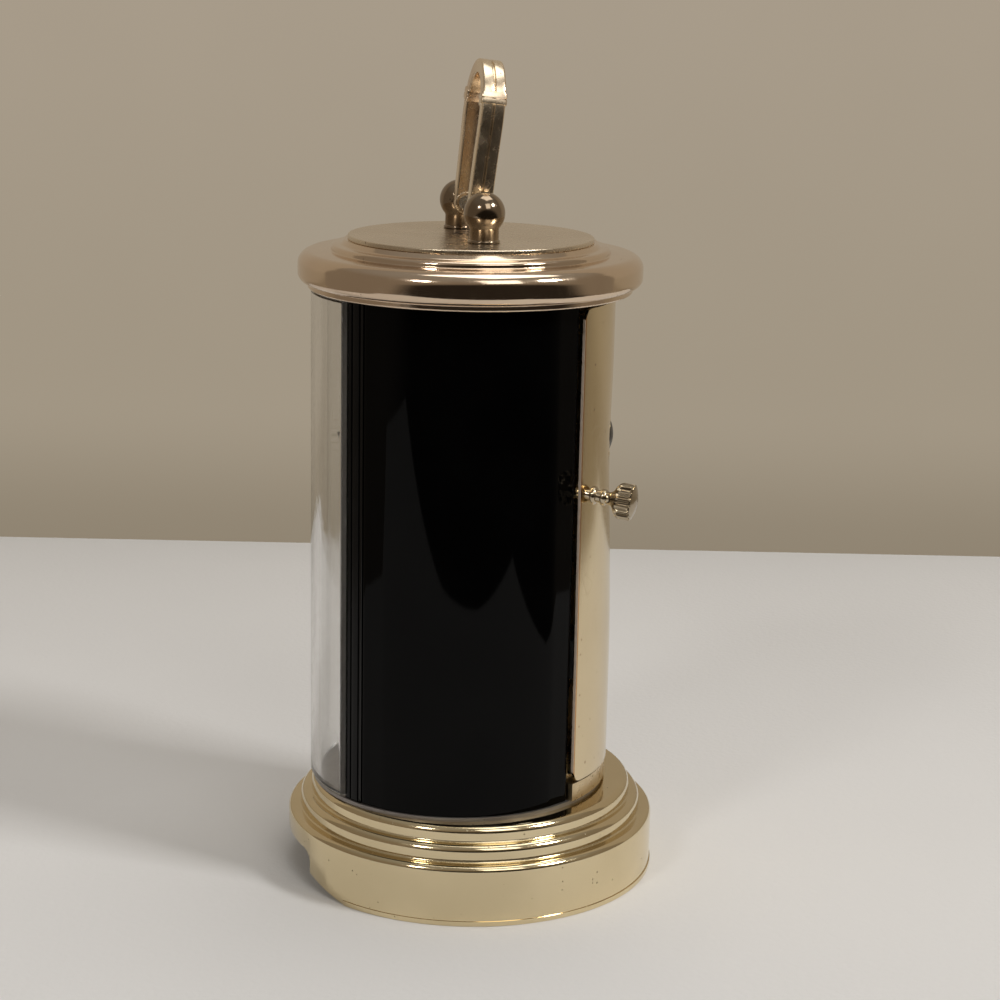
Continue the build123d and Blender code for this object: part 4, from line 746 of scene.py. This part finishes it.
panel_outline = around_case(21.3, case_radius, -39.4, 49.2, rounding=0.45, fineness=0.9)
panel_outline = flattened(flattened(panel_outline, -39.4, -28.7), 39.0, 49.2)
for side, name in ((1, "right"), (-1, "left")):
    bm = bmesh.new()
    upright(bm, panel_outline if side > 0 else mirrored(panel_outline), case_foot, case_top, ease=0.15)
    panel = finish_mesh("gloss_panel_" + name, bm, sharp=40.0)
    dress(panel, "panel_black", "case", "panel_black", "side_panel_" + name)

# %% Front frame
def strip_outline(grooves, width=0.3, depth=0.3):
    """Outline of the strip beside a panel, with fine upright grooves in its face."""
    start, end, inner, floor_radius = -48.5, -39.6, 20.4, case_radius - depth
    spread = math.degrees(width / 2 / case_radius)
    corners = [(*on_case(inner, start), 0.1), (*on_case(case_radius, start), 0.3)]
    for groove in grooves:
        for radius, turn, rounding in (
            (case_radius, -spread, 0.06), (floor_radius, -spread * 0.7, 0.03),
            (floor_radius, spread * 0.7, 0.03), (case_radius, spread, 0.06), (case_radius, spread + 1.0, 0),
        ):
            corners.append((*on_case(radius, groove + turn), rounding))
    corners += [(*on_case(case_radius, end), 0.15), (*on_case(inner, end), 0.1), (*on_case(inner, -44.0), 0)]
    return eased(corners, closed=True, fineness=25.0)


def black_frame():
    strip = strip_outline((-45.0, -40.9))
    bm = bmesh.new()
    upright(bm, strip, case_foot, case_top, ease=0.08)
    upright(bm, mirrored(strip), case_foot, case_top, ease=0.08)
    front, back = case_y - 15.33, case_y - 14.33
    half, window, rail = 14.62, 11.22, 3.6
    for left, right, foot, top in (
        (-half, -window, case_foot, case_top), (window, half, case_foot, case_top),
        (-window, window, case_foot, case_foot + rail), (-window, window, case_top - rail, case_top),
    ):
        corners = [(left, front), (right, front), (right, back), (left, back)]
        upright(bm, [Vector(corner) for corner in corners], foot, top, ease=0.02)
    return finish_mesh("ribbed_frame", bm, sharp=35.0)


dress(black_frame(), "frame_black", "case", "frame_black", "front_frame")

# %% [markdown]
# ## The curved lens
# The clear front is a sheet bent to nearly half a circle. Its long edges are slightly
# rounded and rougher than its faces, so from the side they show as a pale line. A sheet of
# real thickness bends the view through it as the real one does.

# %% Bend the lens
bm = bmesh.new()
lens_outline = around_case(lens_inner, lens_radius, -131.5, -48.5, rounding=0.3, fineness=1.0)
upright(bm, lens_outline, case_foot + 0.3, 92.1, ease=0.2)
dress(finish_mesh("curved_lens", bm, sharp=35.0), "lens_clear", "case", "lens_clear", "lens")

# %% [markdown]
# ## The print on the dial
# Minute marks repeat round the dial, so Geometry Nodes lay them: sixty points on a
# circle, each with a small bar turned to point at the middle, and a broader bar at every
# fifth. The numbers are text turned into mesh. All of it is a thin layer of ink, three
# hundredths of a millimetre thick, on the face of the dial plate.

# %% A tree that lays marks in a ring
def repeat_tree(name, count, sizes, finish):
    """A geometry tree that takes a count, sizes in metres and a finish, and puts out a mesh."""
    tree = bpy.data.node_groups.new(name, "GeometryNodeTree")
    sockets = [("Count", "Int", count)] + [(label, "Float", value) for label, value in sizes.items()]
    for label, kind, value in sockets:
        socket = tree.interface.new_socket(label, in_out="INPUT", socket_type="NodeSocket" + kind)
        socket.default_value = value
    tree.interface.new_socket(finish, in_out="INPUT", socket_type="NodeSocketMaterial")
    tree.interface.new_socket("Mesh", in_out="OUTPUT", socket_type="NodeSocketGeometry")
    return tree, tree.nodes.new("NodeGroupInput").outputs


def lay(tree, points, piece, finish, **turned):
    """Lay a piece on points, make it real, give it its finish and put it out."""
    laid = add(tree, "GeometryNodeInstanceOnPoints", {"Points": points, "Instance": piece, **turned})
    real = add(tree, "GeometryNodeRealizeInstances", {0: laid.outputs[0]})
    done = add(tree, "GeometryNodeSetMaterial", {"Geometry": real.outputs[0], "Material": finish})
    tree.links.new(done.outputs[0], tree.nodes.new("NodeGroupOutput").inputs[0])


def mark_ring_tree():
    sizes = {"Radius": 0.01, "Width": 0.0002, "Length": 0.001, "Depth": 0.00003}
    tree, given = repeat_tree("mark_ring", 60, sizes, "Ink")
    size = add(tree, "ShaderNodeCombineXYZ", {0: given["Width"], 1: given["Length"], 2: given["Depth"]})
    bar = add(tree, "GeometryNodeMeshCube", {"Size": size.outputs[0]})
    ring = add(tree, "GeometryNodeMeshCircle", {"Vertices": given["Count"], "Radius": given["Radius"]})
    place = add(tree, "GeometryNodeInputPosition").outputs[0]
    aim = add(tree, "FunctionNodeAlignRotationToVector", {"Vector": place}, axis="Y", pivot_axis="Z")
    lay(tree, ring.outputs["Mesh"], bar.outputs["Mesh"], given["Ink"], Rotation=aim.outputs[0])
    return tree


def evaluated(carrier):
    """The finished mesh of an object, which is then removed."""
    mesh = bpy.data.meshes.new_from_object(carrier.evaluated_get(bpy.context.evaluated_depsgraph_get()))
    bpy.data.objects.remove(carrier)
    return mesh


def baked(name, tree, **inputs):
    """Run a tree on an empty mesh and return its result as a plain mesh."""
    carrier = placed(name, bpy.data.meshes.new(name))
    modifier = carrier.modifiers.new(name, "NODES")
    modifier.node_group = tree
    for item in tree.interface.items_tree:
        if item.name in inputs:
            modifier[item.identifier] = inputs[item.name]
    return evaluated(carrier)


mark_ring, ink = mark_ring_tree(), {"Ink": finishes["dial_ink"]}
minute_marks = baked("minute_marks", mark_ring, Count=60, Radius=0.01195, Width=0.00014, Length=0.0008, **ink)
five_marks = baked("five_marks", mark_ring, Count=12, Radius=0.01175, Width=0.00042, Length=0.0012, **ink)
print("marks", len(minute_marks.polygons), len(five_marks.polygons))

# %% Numbers and border
ink_depth = 0.03
border_half, border_foot, border_top, border_line = 12.9, -48.6, 24.9, 0.16


def number_mesh(text, size, centre):
    """A number as thin mesh in the plane of the dial."""
    curve = bpy.data.curves.new("number", "FONT")
    curve.body = text
    curve.size = size * MM
    curve.extrude = ink_depth / 2 * MM
    curve.offset = 0.00003
    curve.align_x, curve.align_y = "CENTER", "CENTER"
    writer = placed("number", curve)
    bpy.context.view_layer.update()
    mesh = evaluated(writer)
    mesh.transform(Matrix.Translation((centre[0] * MM, centre[1] * MM, 0)))
    return mesh


def dial_print():
    bm = bmesh.new()
    for mesh in (minute_marks, five_marks):
        bm.from_mesh(mesh)
    for hour in range(1, 13):
        turn = math.radians(90 - 30 * hour)
        reach = 9.5 if hour % 3 == 0 else 9.7
        bm.from_mesh(number_mesh(str(hour), 2.9, (reach * math.cos(turn), reach * math.sin(turn))))
    half, line = border_half, border_line
    for x0, x1, y0, y1 in (
        (-half, half, border_foot, border_foot + line), (-half, half, border_top - line, border_top),
        (-half, -half + line, border_foot, border_top), (half - line, half, border_foot, border_top),
    ):
        cube = bmesh.ops.create_cube(bm, size=1.0)["verts"]
        bmesh.ops.scale(bm, vec=((x1 - x0) * MM, (y1 - y0) * MM, ink_depth * MM), verts=cube)
        bmesh.ops.translate(bm, vec=((x0 + x1) / 2 * MM, (y0 + y1) / 2 * MM, 0), verts=cube)
    face = Matrix.Translation((0, (case_y - 16.13) * MM - 0.000014, hand_z * MM))
    bmesh.ops.transform(bm, matrix=face @ Matrix.Rotation(math.pi / 2, 4, "X"), verts=bm.verts)
    bmesh.ops.remove_doubles(bm, verts=bm.verts, dist=1e-7)
    bmesh.ops.recalc_face_normals(bm, faces=bm.faces)
    mesh = bpy.data.meshes.new("dial_print")
    bm.to_mesh(mesh)
    bm.free()
    mesh.materials.clear()
    return placed("dial_print", mesh)


dress(dial_print(), "dial_ink", "case", "hand_black")

# %% [markdown]
# ## The curved door
# The door is sheet brass, bent to the curve of the case, with a hole for the alarm
# button and a shallow dent around it from years of pushing. It is easiest to make flat,
# as the real one was: a plate with round corners and a hole is cut first, then bent, and
# then dented. Its hinge side carries short rolled knuckles.

# %% Cut the door flat
hole_radius, hole_steps, corner_round = 3.3, 48, 1.6
door_columns, door_rows = 40, 92
hole = (math.radians(90 - door_start) * door_radius, button_z)


def flat_door():
    """The door before bending: across is the arc from its free edge, up is the height, depth the wall."""
    width = math.radians(door_end - door_start) * door_radius
    bm = bmesh.new()
    grid = {}
    for i in range(door_columns + 1):
        for j in range(door_rows + 1):
            x, z = width * i / door_columns, door_foot + (door_top - door_foot) * j / door_rows
            if x < corner_round:
                drop = corner_round - math.sqrt(max(0.0, corner_round**2 - (corner_round - x) ** 2))
                z = min(max(z, door_foot + drop), door_top - drop)
            grid[i, j] = bm.verts.new((x, 0, z))
    def from_hole(place):
        return (Vector((place.x, place.z)) - Vector(hole)).length
    for i in range(door_columns):
        for j in range(door_rows):
            square = [grid[i, j], grid[i + 1, j], grid[i + 1, j + 1], grid[i, j + 1]]
            if from_hole(sum((v.co for v in square), Vector()) / 4) > hole_radius + 0.8:
                bm.faces.new(square)
    bmesh.ops.remove_doubles(bm, verts=bm.verts, dist=0.01)
    bmesh.ops.delete(bm, geom=[v for v in bm.verts if not v.link_faces], context="VERTS")
    rim = [e for e in bm.edges if e.is_boundary and all(from_hole(v.co) < 7 for v in e.verts)]
    turns = [2 * math.pi * k / hole_steps for k in range(hole_steps)]
    circle = [
        bm.verts.new((hole[0] + hole_radius * math.cos(turn), 0, hole[1] + hole_radius * math.sin(turn)))
        for turn in turns
    ]
    loop = [bm.edges.new((circle[k], circle[(k + 1) % hole_steps])) for k in range(hole_steps)]
    bmesh.ops.bridge_loops(bm, edges=rim + loop)
    return bm


# %% Bend and dent it
def dent(angle, height):
    """How far the sheet is pushed in, in millimetres."""
    away = ((angle - 92) / 30) ** 2
    up = (height - 69.0) / 10.0
    rise = min(1.0, max(0.0, (height - 34.0) / 34.0))
    return math.exp(-away) * (0.7 * rise * rise * (3 - 2 * rise) + 0.25 * math.exp(-up * up * 1.3))


def bent_door():
    bm = flat_door()
    bmesh.ops.recalc_face_normals(bm, faces=bm.faces)
    outwards = sum(f.normal.y for f in bm.faces) > 0
    bmesh.ops.solidify(bm, geom=list(bm.faces), thickness=-0.9 if outwards else 0.9)
    depths = [v.co.y for v in bm.verts]
    near, far = min(depths), max(depths)
    for v in bm.verts:
        outside = (v.co.y - near) / (far - near)
        angle = door_start + math.degrees(v.co.x / door_radius)
        rough = 0.0
        if v.co.x < 0.02:
            rough = 0.035 * math.sin(v.co.z * 3.1) * math.sin(v.co.z * 7.3)
        radius = door_inner + 0.9 * outside - dent(angle, v.co.z)
        v.co = (*on_case(radius, angle + math.degrees(rough / door_radius)), v.co.z)
    return bm


door_bm = bent_door()
print("door sheet", len(door_bm.faces), "faces")

# %% [markdown]
# The knuckles repeat along the hinge, so a second tree lays them: short tubes at an even
# pitch. The door's own knuckles and the frame's knuckles take turns; the door's set is
# baked here for the door.

# %% Knuckles along the hinge
def knuckle_tree():
    sizes = {"Pitch": 0.02, "Length": 0.00988, "Radius": 0.00095}
    tree, given = repeat_tree("knuckle_row", 3, sizes, "Brass")
    def height(value):
        return add(tree, "ShaderNodeCombineXYZ", {2: value}).outputs[0]
    def tube(radius, low, high):
        line = add(tree, "GeometryNodeCurvePrimitiveLine", {"Start": height(low), "End": height(high)})
        circle = add(tree, "GeometryNodeCurvePrimitiveCircle", {"Resolution": 28, "Radius": radius})
        swept = {"Curve": line.outputs[0], "Profile Curve": circle.outputs[0], "Fill Caps": True}
        return add(tree, "GeometryNodeCurveToMesh", swept).outputs[0]
    row = add(tree, "GeometryNodeMeshLine", {"Count": given["Count"], "Offset": height(given["Pitch"])})
    ease = 0.00012
    body = tube(given["Radius"], ease, calc(tree, "SUBTRACT", given["Length"], ease))
    core = tube(calc(tree, "SUBTRACT", given["Radius"], ease), 0.0, given["Length"])
    both = tree.nodes.new("GeometryNodeJoinGeometry")
    tree.links.new(body, both.inputs[0])
    tree.links.new(core, both.inputs[0])
    lay(tree, row.outputs[0], both.outputs[0], given["Brass"])
    return tree


hinge_angle, hinge_foot, knuckle_pitch, knuckle_length = 130, 19.85, 20, 9.88
knuckles = baked("door_knuckles", knuckle_tree(), Count=3, Pitch=0.02, Brass=finishes["door_brass"])
knuckles.transform(Matrix.Translation(Vector((*on_case(24.354, hinge_angle), hinge_foot + 10.0)) * MM))

# %% Leaves of the knuckles
hinge_turn = math.radians(hinge_angle)
out = Vector((math.cos(hinge_turn), math.sin(hinge_turn)))
along = Vector((-out.y, out.x))
corner = Vector((0, case_y)) + out * 23.3
leaf = [
    corner - along * 1.5 - out * 0.25, corner + along * 0.1 - out * 0.3,
    corner + along * 0.1 + out * 0.35, corner - along * 1.5 + out * 0.4,
]
for k in range(3):
    foot = hinge_foot + 10.0 + knuckle_pitch * k
    upright(door_bm, leaf, foot, foot + knuckle_length, ease=0.05)
door_sheet = finish_mesh("bent_door", door_bm, sharp=38.0)
bm = bmesh.new()
bm.from_mesh(door_sheet.data)
bm.from_mesh(knuckles)
bm.to_mesh(door_sheet.data)
bm.free()
dress(door_sheet, "door_brass", "door", "door_brass", "back_door")

# %% [markdown]
# ## The door's knob
# A small turned knob: a bead at the door, a second bead, a neck and a head. The head has
# sixteen elongated flutes cut round it, like the crown of a watch, and a low domed end.
# Years of pulling have turned it a little sideways and made it droop.
# It is woven ring by ring along its own axis, and each ring of the head is pulled in
# where a flute crosses it, most in the middle of the flute and not at all at its ends.

# %% Turn and flute the knob
knob_heading, knob_droop = math.radians(74.0), math.radians(6.0)
knob_root = Vector((*on_case(door_radius, 54.2), 63.5))
knob_axis = Vector((math.cos(knob_heading), math.sin(knob_heading), 0)) * math.cos(knob_droop)
knob_axis.z = -math.sin(knob_droop)
flute_middle, flute_half, flute_depth, flutes = 5.8, 1.1, 0.42, 16


def knob_profile():
    """Radius and distance from the door, from the end inside to the domed face."""
    shank, head = 0.95, 2.75
    profile = [(0, -2.0), (0.68, -2.0), (0.75, -1.9), (0.75, 0.2), (shank, 0.25)]
    for place, radius in ((0.8, 1.43), (2.4, 1.25)):
        for k in range(15):
            turn = math.pi * k / 14
            profile.append((shank + (radius - shank) * math.sin(turn) ** 0.8, place - 0.5 * math.cos(turn)))
    profile += [(shank, 3.05), (0.98, 3.25), (1.05, 3.5), (1.3, 3.82), (1.75, 4.05), (2.15, 4.28)]
    profile += [(2.45, 4.55), (2.64, 4.8), (2.72, 4.95)] + [(head, 5.1 + 0.15 * k) for k in range(12)]
    profile += [(2.7, 6.84), (2.6, 6.93), (2.4, 7.02), (2.1, 7.13), (1.7, 7.27), (1.1, 7.42), (0.5, 7.52)]
    return profile + [(0, 7.55)]


def fluted_knob():
    bm = bmesh.new()
    other = knob_axis.cross(Vector((0, 0, 1))).normalized()
    side = other.cross(knob_axis)
    steps = flutes * 14
    rows = []
    for radius, along in knob_profile():
        centre = knob_root + knob_axis * along
        if radius == 0:
            rows.append([bm.verts.new(centre)])
            continue
        share = (along - flute_middle) / flute_half
        strength = math.sqrt(max(0.0, 1 - share * share)) if radius > 2.2 else 0.0
        row = []
        for k in range(steps):
            angle = 2 * math.pi * k / steps
            wave = math.sin(angle * flutes / 2) ** 2
            pull = flute_depth * min(1.0, strength * 1.5) * min(1.0, wave * 1.4) ** 0.7
            out = side * math.cos(angle) + other * math.sin(angle)
            row.append(bm.verts.new(centre + out * (radius - pull)))
        rows.append(row)
    for lower, upper in zip(rows, rows[1:]):
        bridge(bm, lower, upper)
    return finish_mesh("fluted_knob", bm, sharp=55.0)


dress(fluted_knob(), "knob_brass", "door", "turned_brass", "door_knob")

# %% [markdown]
# ## The alarm button
# A short black plunger with a softly domed end. It is turned about an axis that runs
# front to back, and its dome has a small rim.

# %% Turn the button
dome_radius, dome_place = 5.2, case_y + door_radius - 0.4
dome = [(0.26 * k, math.sqrt(dome_radius**2 - (0.26 * k) ** 2) - dome_radius) for k in range(10)]
stem = [(2.52, -0.68), (2.6, -0.85), (2.6, -3.6), (2.5, -3.7), (1.1, -3.7), (1.1, -25.6), (0, -25.6)]
bm = bmesh.new()
lathe(bm, dome + stem, (0, dome_place, button_z), axis=(0, 1, 0), steps=64)
button = finish_mesh("domed_button", bm, sharp=45.0)
dress(button, "button_black", "alarm_button", "button_black", "alarm_button")

# %% [markdown]
# ## Posts with balls
# Two posts stand on the disc, each with a straight neck and a ball, and carry the ends
# of the handle. They are turned in one piece with the stud that goes through the cap.

# %% Turn the posts
handle_turn = math.radians(12.5)
across = Vector((math.cos(handle_turn), math.sin(handle_turn), 0))
post_reach, neck, ball = 9.5, 2.2, 3.1


def ball_post(name, side):
    join = math.asin(neck / ball)
    neck_top = pivot_z - ball * math.cos(join)
    outline = [(0, 91.8), (1.1, 91.8), (1.2, 91.9), (1.2, 99.8), (1.2, disc_top)]
    collar = ((2.3, 0), (2.4, 0.08), (2.4, 0.3), (2.32, 0.42), (neck, 0.5))
    outline += [(radius, disc_top + up) for radius, up in collar]
    outline += [(neck, neck_top - 0.12), (neck + 0.05, neck_top - 0.02)]
    for k in range(1, 36):
        angle = join + (math.pi - join) * k / 36
        outline.append((ball * math.sin(angle), pivot_z - ball * math.cos(angle)))
    outline.append((0, pivot_z + ball))
    bm = bmesh.new()
    place = across * side * post_reach
    lathe(bm, outline, (place.x, cap_y + place.y, 0), steps=72)
    return finish_mesh(name, bm, sharp=50.0)


for side, label in ((-1, "left"), (1, "right")):
    dress(ball_post("ball_post_" + label, side), "turned_brass", "case", "turned_brass", "post_" + label)

# %% [markdown]
# ## The carrying handle
# The bow is a flat bar bent edgewise: it rises from the balls, swells at the shoulders
# and closes over the top. A fine groove runs round its outside, and each leg has a
# collar. The bar is swept along its centreline, with its section always square to it.
# The collars and the eyes at the feet are blocks of the same bar.

# %% Path of the bow
lean = math.radians(6.3)
normal = Vector((
    math.sin(handle_turn) * math.cos(lean), -math.cos(handle_turn) * math.cos(lean), math.sin(lean),
))
rise = normal.cross(across)
pivot = Vector((0, cap_y, pivot_z))
leg_points = [(5.1, 0.0), (5.6, 9.0), (6.0, 13.8), (5.3, 17.2), (3.1, 19.95), (0.0, 21.0)]
leg_headings = [(0.06, 1.0), (0.08, 1.0), (-0.02, 1.0), (-0.45, 1.0), (-1.0, 0.75), (-1.0, 0.0)]


def leg_path():
    """Points of the right leg from its foot to the top of the bow, across and up."""
    path = []
    for i in range(len(leg_points) - 1):
        start, end = Vector(leg_points[i]), Vector(leg_points[i + 1])
        length = (end - start).length / 3
        first = start + Vector(leg_headings[i]).normalized() * length
        last = end - Vector(leg_headings[i + 1]).normalized() * length
        piece = interpolate_bezier(start.to_3d(), first.to_3d(), last.to_3d(), end.to_3d(), 13)
        path += piece[:-1] if i < len(leg_points) - 2 else piece
    return [Vector((p.x, p.y)) for p in path]


right_leg = leg_path()
bow_path = [Vector((-p.x, p.y)) for p in right_leg] + list(reversed(right_leg))[1:]
print("bow of", len(bow_path), "points")

# %% Sweep the bow
def in_bow(point, outward=Vector((0, 0)), amount=0.0, depth=0.0):
    flat = point + outward * amount
    return pivot + across * flat.x + rise * flat.y + normal * depth


bar_half, depth_half = 1.05, 1.75
bar_section = eased([
    (bar_half, -depth_half, 0.32), (bar_half, -0.2, 0.1), (bar_half - 0.3, -0.1, 0.06),
    (bar_half - 0.3, 0.1, 0.06), (bar_half, 0.2, 0.1), (bar_half, depth_half, 0.32),
    (-bar_half, depth_half, 0.32), (-bar_half, -depth_half, 0.32),
], closed=True, fineness=18.0)


def heading_at(path, i):
    return (path[min(i + 1, len(path) - 1)] - path[max(i - 1, 0)]).normalized()


def sweep(bm, rows):
    """Skin rows of points and close both ends."""
    rows = [[bm.verts.new(point) for point in row] for row in rows]
    for lower, upper in zip(rows, rows[1:]):
        bridge(bm, lower, upper)
    bm.faces.new(rows[0])
    bm.faces.new(rows[-1])


# %% Collars on the legs
collar_steps = (
    (-1.0, 0.22), (-0.86, 0.04), (-0.6, 0.0), (-0.12, 0.0), (0.0, 0.10),
    (0.12, 0.0), (0.6, 0.0), (0.86, 0.04), (1.0, 0.22),
)


def collar(bm, side, share=0.685):
    """A rounded block round the leg at a share of its length, with a fine groove round its middle."""
    lengths = [0.0]
    for first, second in zip(right_leg, right_leg[1:]):
        lengths.append(lengths[-1] + (second - first).length)
    i = min(range(len(lengths)), key=lambda k: abs(lengths[k] - share * lengths[-1]))
    heading = heading_at(right_leg, i)
    outward = Vector((heading.y, -heading.x))
    rows = []
    for along, shrink in collar_steps:
        a, b = bar_half + 0.06 - shrink, depth_half + 0.22 - shrink
        ring = eased([(a, -b, 0.35), (a, b, 0.35), (-a, b, 0.35), (-a, -b, 0.35)], closed=True, fineness=22.0)
        row = []
        for s in ring:
            flat = right_leg[i] + heading * along + outward * s.x
            row.append(in_bow(Vector((flat.x * side, flat.y)), depth=s.y))
        rows.append(row)
    sweep(bm, rows)


# %% Join bow, collars and eyes
def carrying_bow():
    bm = bmesh.new()
    rows = []
    for i, point in enumerate(bow_path):
        heading = heading_at(bow_path, i)
        outward = Vector((-heading.y, heading.x))
        rows.append([in_bow(point, outward, s.x, s.y) for s in bar_section])
    sweep(bm, rows)
    for side in (-1, 1):
        collar(bm, side)
        eye = eased([(0, -1.05, 0), (1.75, -1.05, 0.2), (1.75, 1.05, 0.2), (0, 1.05, 0)], fineness=30.0)
        lathe(bm, eye, pivot + across * side * leg_points[0][0], axis=across, steps=48)
    return finish_mesh("carrying_bow", bm, sharp=34.0)


dress(carrying_bow(), "handle_brass", "handle", "handle_brass", "handle")

# %% [markdown]
# ## Stage, camera and light
# The clock stands on a plain pale cloth in front of a plain pale wall. Polished metal
# only looks like metal when it has something to reflect, so the edge of the cloth is cut
# to the outline that its reflection has in the glossy sides, and the world is dark in
# front, as the far side of a room is. The wall glows instead of needing a lamp, darker
# towards the floor as painted shade, and it is clear from behind, so that it never hides
# the clock. Four soft lamps stand round it: two small ones for the sharp highlights on the
# beads, two wide ones for the rest.

# %% Floor
cloth_corners = (
    (-196, -184), (74, -184), (190, -330), (318, -292), (199, -44),
    (181, 41), (177, 143), (59, 140), (7, 198), (-196, 230),
)


def pale_floor():
    bm = bmesh.new()
    upright(bm, [Vector(corner) for corner in cloth_corners], -6.0, 0.0, ease=1.0)
    floor = finish_mesh("pale_cloth", bm, sharp=20.0)
    tree, shader, place = new_finish("pale_cloth")
    colour = blend_colour(tree, noise(tree, place, 14.0, 3.0), (0.63, 0.63, 0.635), (0.67, 0.67, 0.672))
    fill(tree, shader, {"Base Color": colour, "Roughness": 0.95})
    weave, fold = noise(tree, place, 900.0), noise(tree, place, 22.0, 1.0)
    bumped(tree, shader, total(tree, times(tree, weave, 0.15), fold), 0.25, 0.002)
    floor.data.materials.append(finishes["pale_cloth"])
    return floor


print("floor", [round(v, 3) for v in pale_floor().dimensions])

# %% Wall
def pale_wall():
    corners = [(-0.197, y, z) for y, z in ((-0.62, -0.12), (0.62, -0.12), (0.62, 0.42), (-0.62, 0.42))]
    mesh = bpy.data.meshes.new("pale_wall")
    mesh.from_pydata(corners, [], [(0, 1, 2, 3)])
    wall = placed("pale_wall", mesh)
    tree, shader, place = new_finish("pale_wall")
    height = split(tree, place)[2]
    # The glow is darker towards the floor: painted shade low on the wall.
    tone = blend_colour(tree, between(tree, height, 0.0, 0.035), (0.265, 0.220, 0.158), (0.350, 0.296, 0.222))
    tone = blend_colour(tree, between(tree, height, 0.04, 0.15), tone, (0.385, 0.325, 0.250))
    tone = blend_colour(tree, times(tree, noise(tree, place, 30.0, 4.0), 0.18), tone, (0.300, 0.250, 0.185))
    fill(tree, shader, {
        "Base Color": (0.02, 0.02, 0.02, 1.0), "Roughness": 0.9, "Specular IOR Level": 0.0,
        "Emission Color": tone, "Emission Strength": 1.0,
    })
    behind = add(tree, "ShaderNodeNewGeometry").outputs["Backfacing"]
    clear = add(tree, "ShaderNodeBsdfTransparent")
    mixed = add(tree, "ShaderNodeMixShader", {0: behind, 1: shader.outputs[0], 2: clear.outputs[0]})
    tree.links.new(mixed.outputs[0], tree.nodes["Material Output"].inputs["Surface"])
    mesh.materials.append(finishes["pale_wall"])
    return wall


print("wall", [round(v, 3) for v in pale_wall().dimensions])

# %% World
def room_world():
    world = bpy.data.worlds.new("room")
    world.use_nodes = True
    bpy.context.scene.world = world
    tree = world.node_tree
    tree.nodes.clear()
    x, y, z = split(tree, add(tree, "ShaderNodeTexCoord").outputs["Generated"])
    ahead = total(tree, times(tree, x, 0.966), times(tree, y, 0.259), times(tree, z, -0.8))
    room = blend_colour(tree, between(tree, ahead, 0.45, 0.75), (0.235, 0.195, 0.150), (0.026, 0.021, 0.016))
    room = blend_colour(tree, between(tree, z, 0.5, 0.95), room, (0.30, 0.28, 0.25))
    shown = add(tree, "ShaderNodeBackground", {"Color": room, "Strength": 1.0})
    result = add(tree, "ShaderNodeOutputWorld")
    tree.links.new(shown.outputs[0], result.inputs[0])
    return world


print("world", room_world().name)

# %% Lamps
def soft_lamp(name, place, aim_height, width, height, power):
    light = bpy.data.lights.new(name, "AREA")
    light.shape = "RECTANGLE"
    light.size, light.size_y = width, height
    light.energy = power
    light.color = (1.0, 0.98, 0.95)
    lamp = placed(name, light)
    lamp.location = place
    lamp.rotation_euler = (Vector((0, 0, aim_height)) - Vector(place)).to_track_quat("-Z", "Y").to_euler()


soft_lamp("lamp_left", (0.88, -0.60, 0.84), 0.05, 0.18, 0.18, 2.3)
soft_lamp("lamp_right", (0.44, 0.92, 1.00), 0.05, 0.24, 0.24, 8.6)
soft_lamp("lamp_front", (0.92, 0.42, 1.04), 0.10, 0.55, 0.65, 2.3)
soft_lamp("lamp_above", (-0.25, 0.20, 1.70), 0.05, 1.0, 1.0, 7.6)
print("lamps", len(bpy.data.lights))

# %% Camera at the angle of the photograph
camera_data = bpy.data.cameras.new("camera")
camera_data.lens, camera_data.sensor_width = 80.57, 36.0
camera = placed("camera", camera_data)
pitch, roll = math.radians(13.56), math.radians(1.15)
level, upward = Vector((0, 1, 0)), Vector((-math.sin(pitch), 0, math.cos(pitch)))
sight = Vector((math.cos(pitch), 0, math.sin(pitch)))
right = level * math.cos(roll) + upward * math.sin(roll)
up = upward * math.cos(roll) - level * math.sin(roll)
turned = Matrix((right, up, sight)).transposed().to_4x4()
camera.matrix_world = Matrix.Translation((0.3412, 0.0039, 0.1413)) @ turned
bpy.context.scene.camera = camera
bpy.context.scene.view_settings.view_transform = "Standard"
print("camera", [round(v, 4) for v in camera.location])
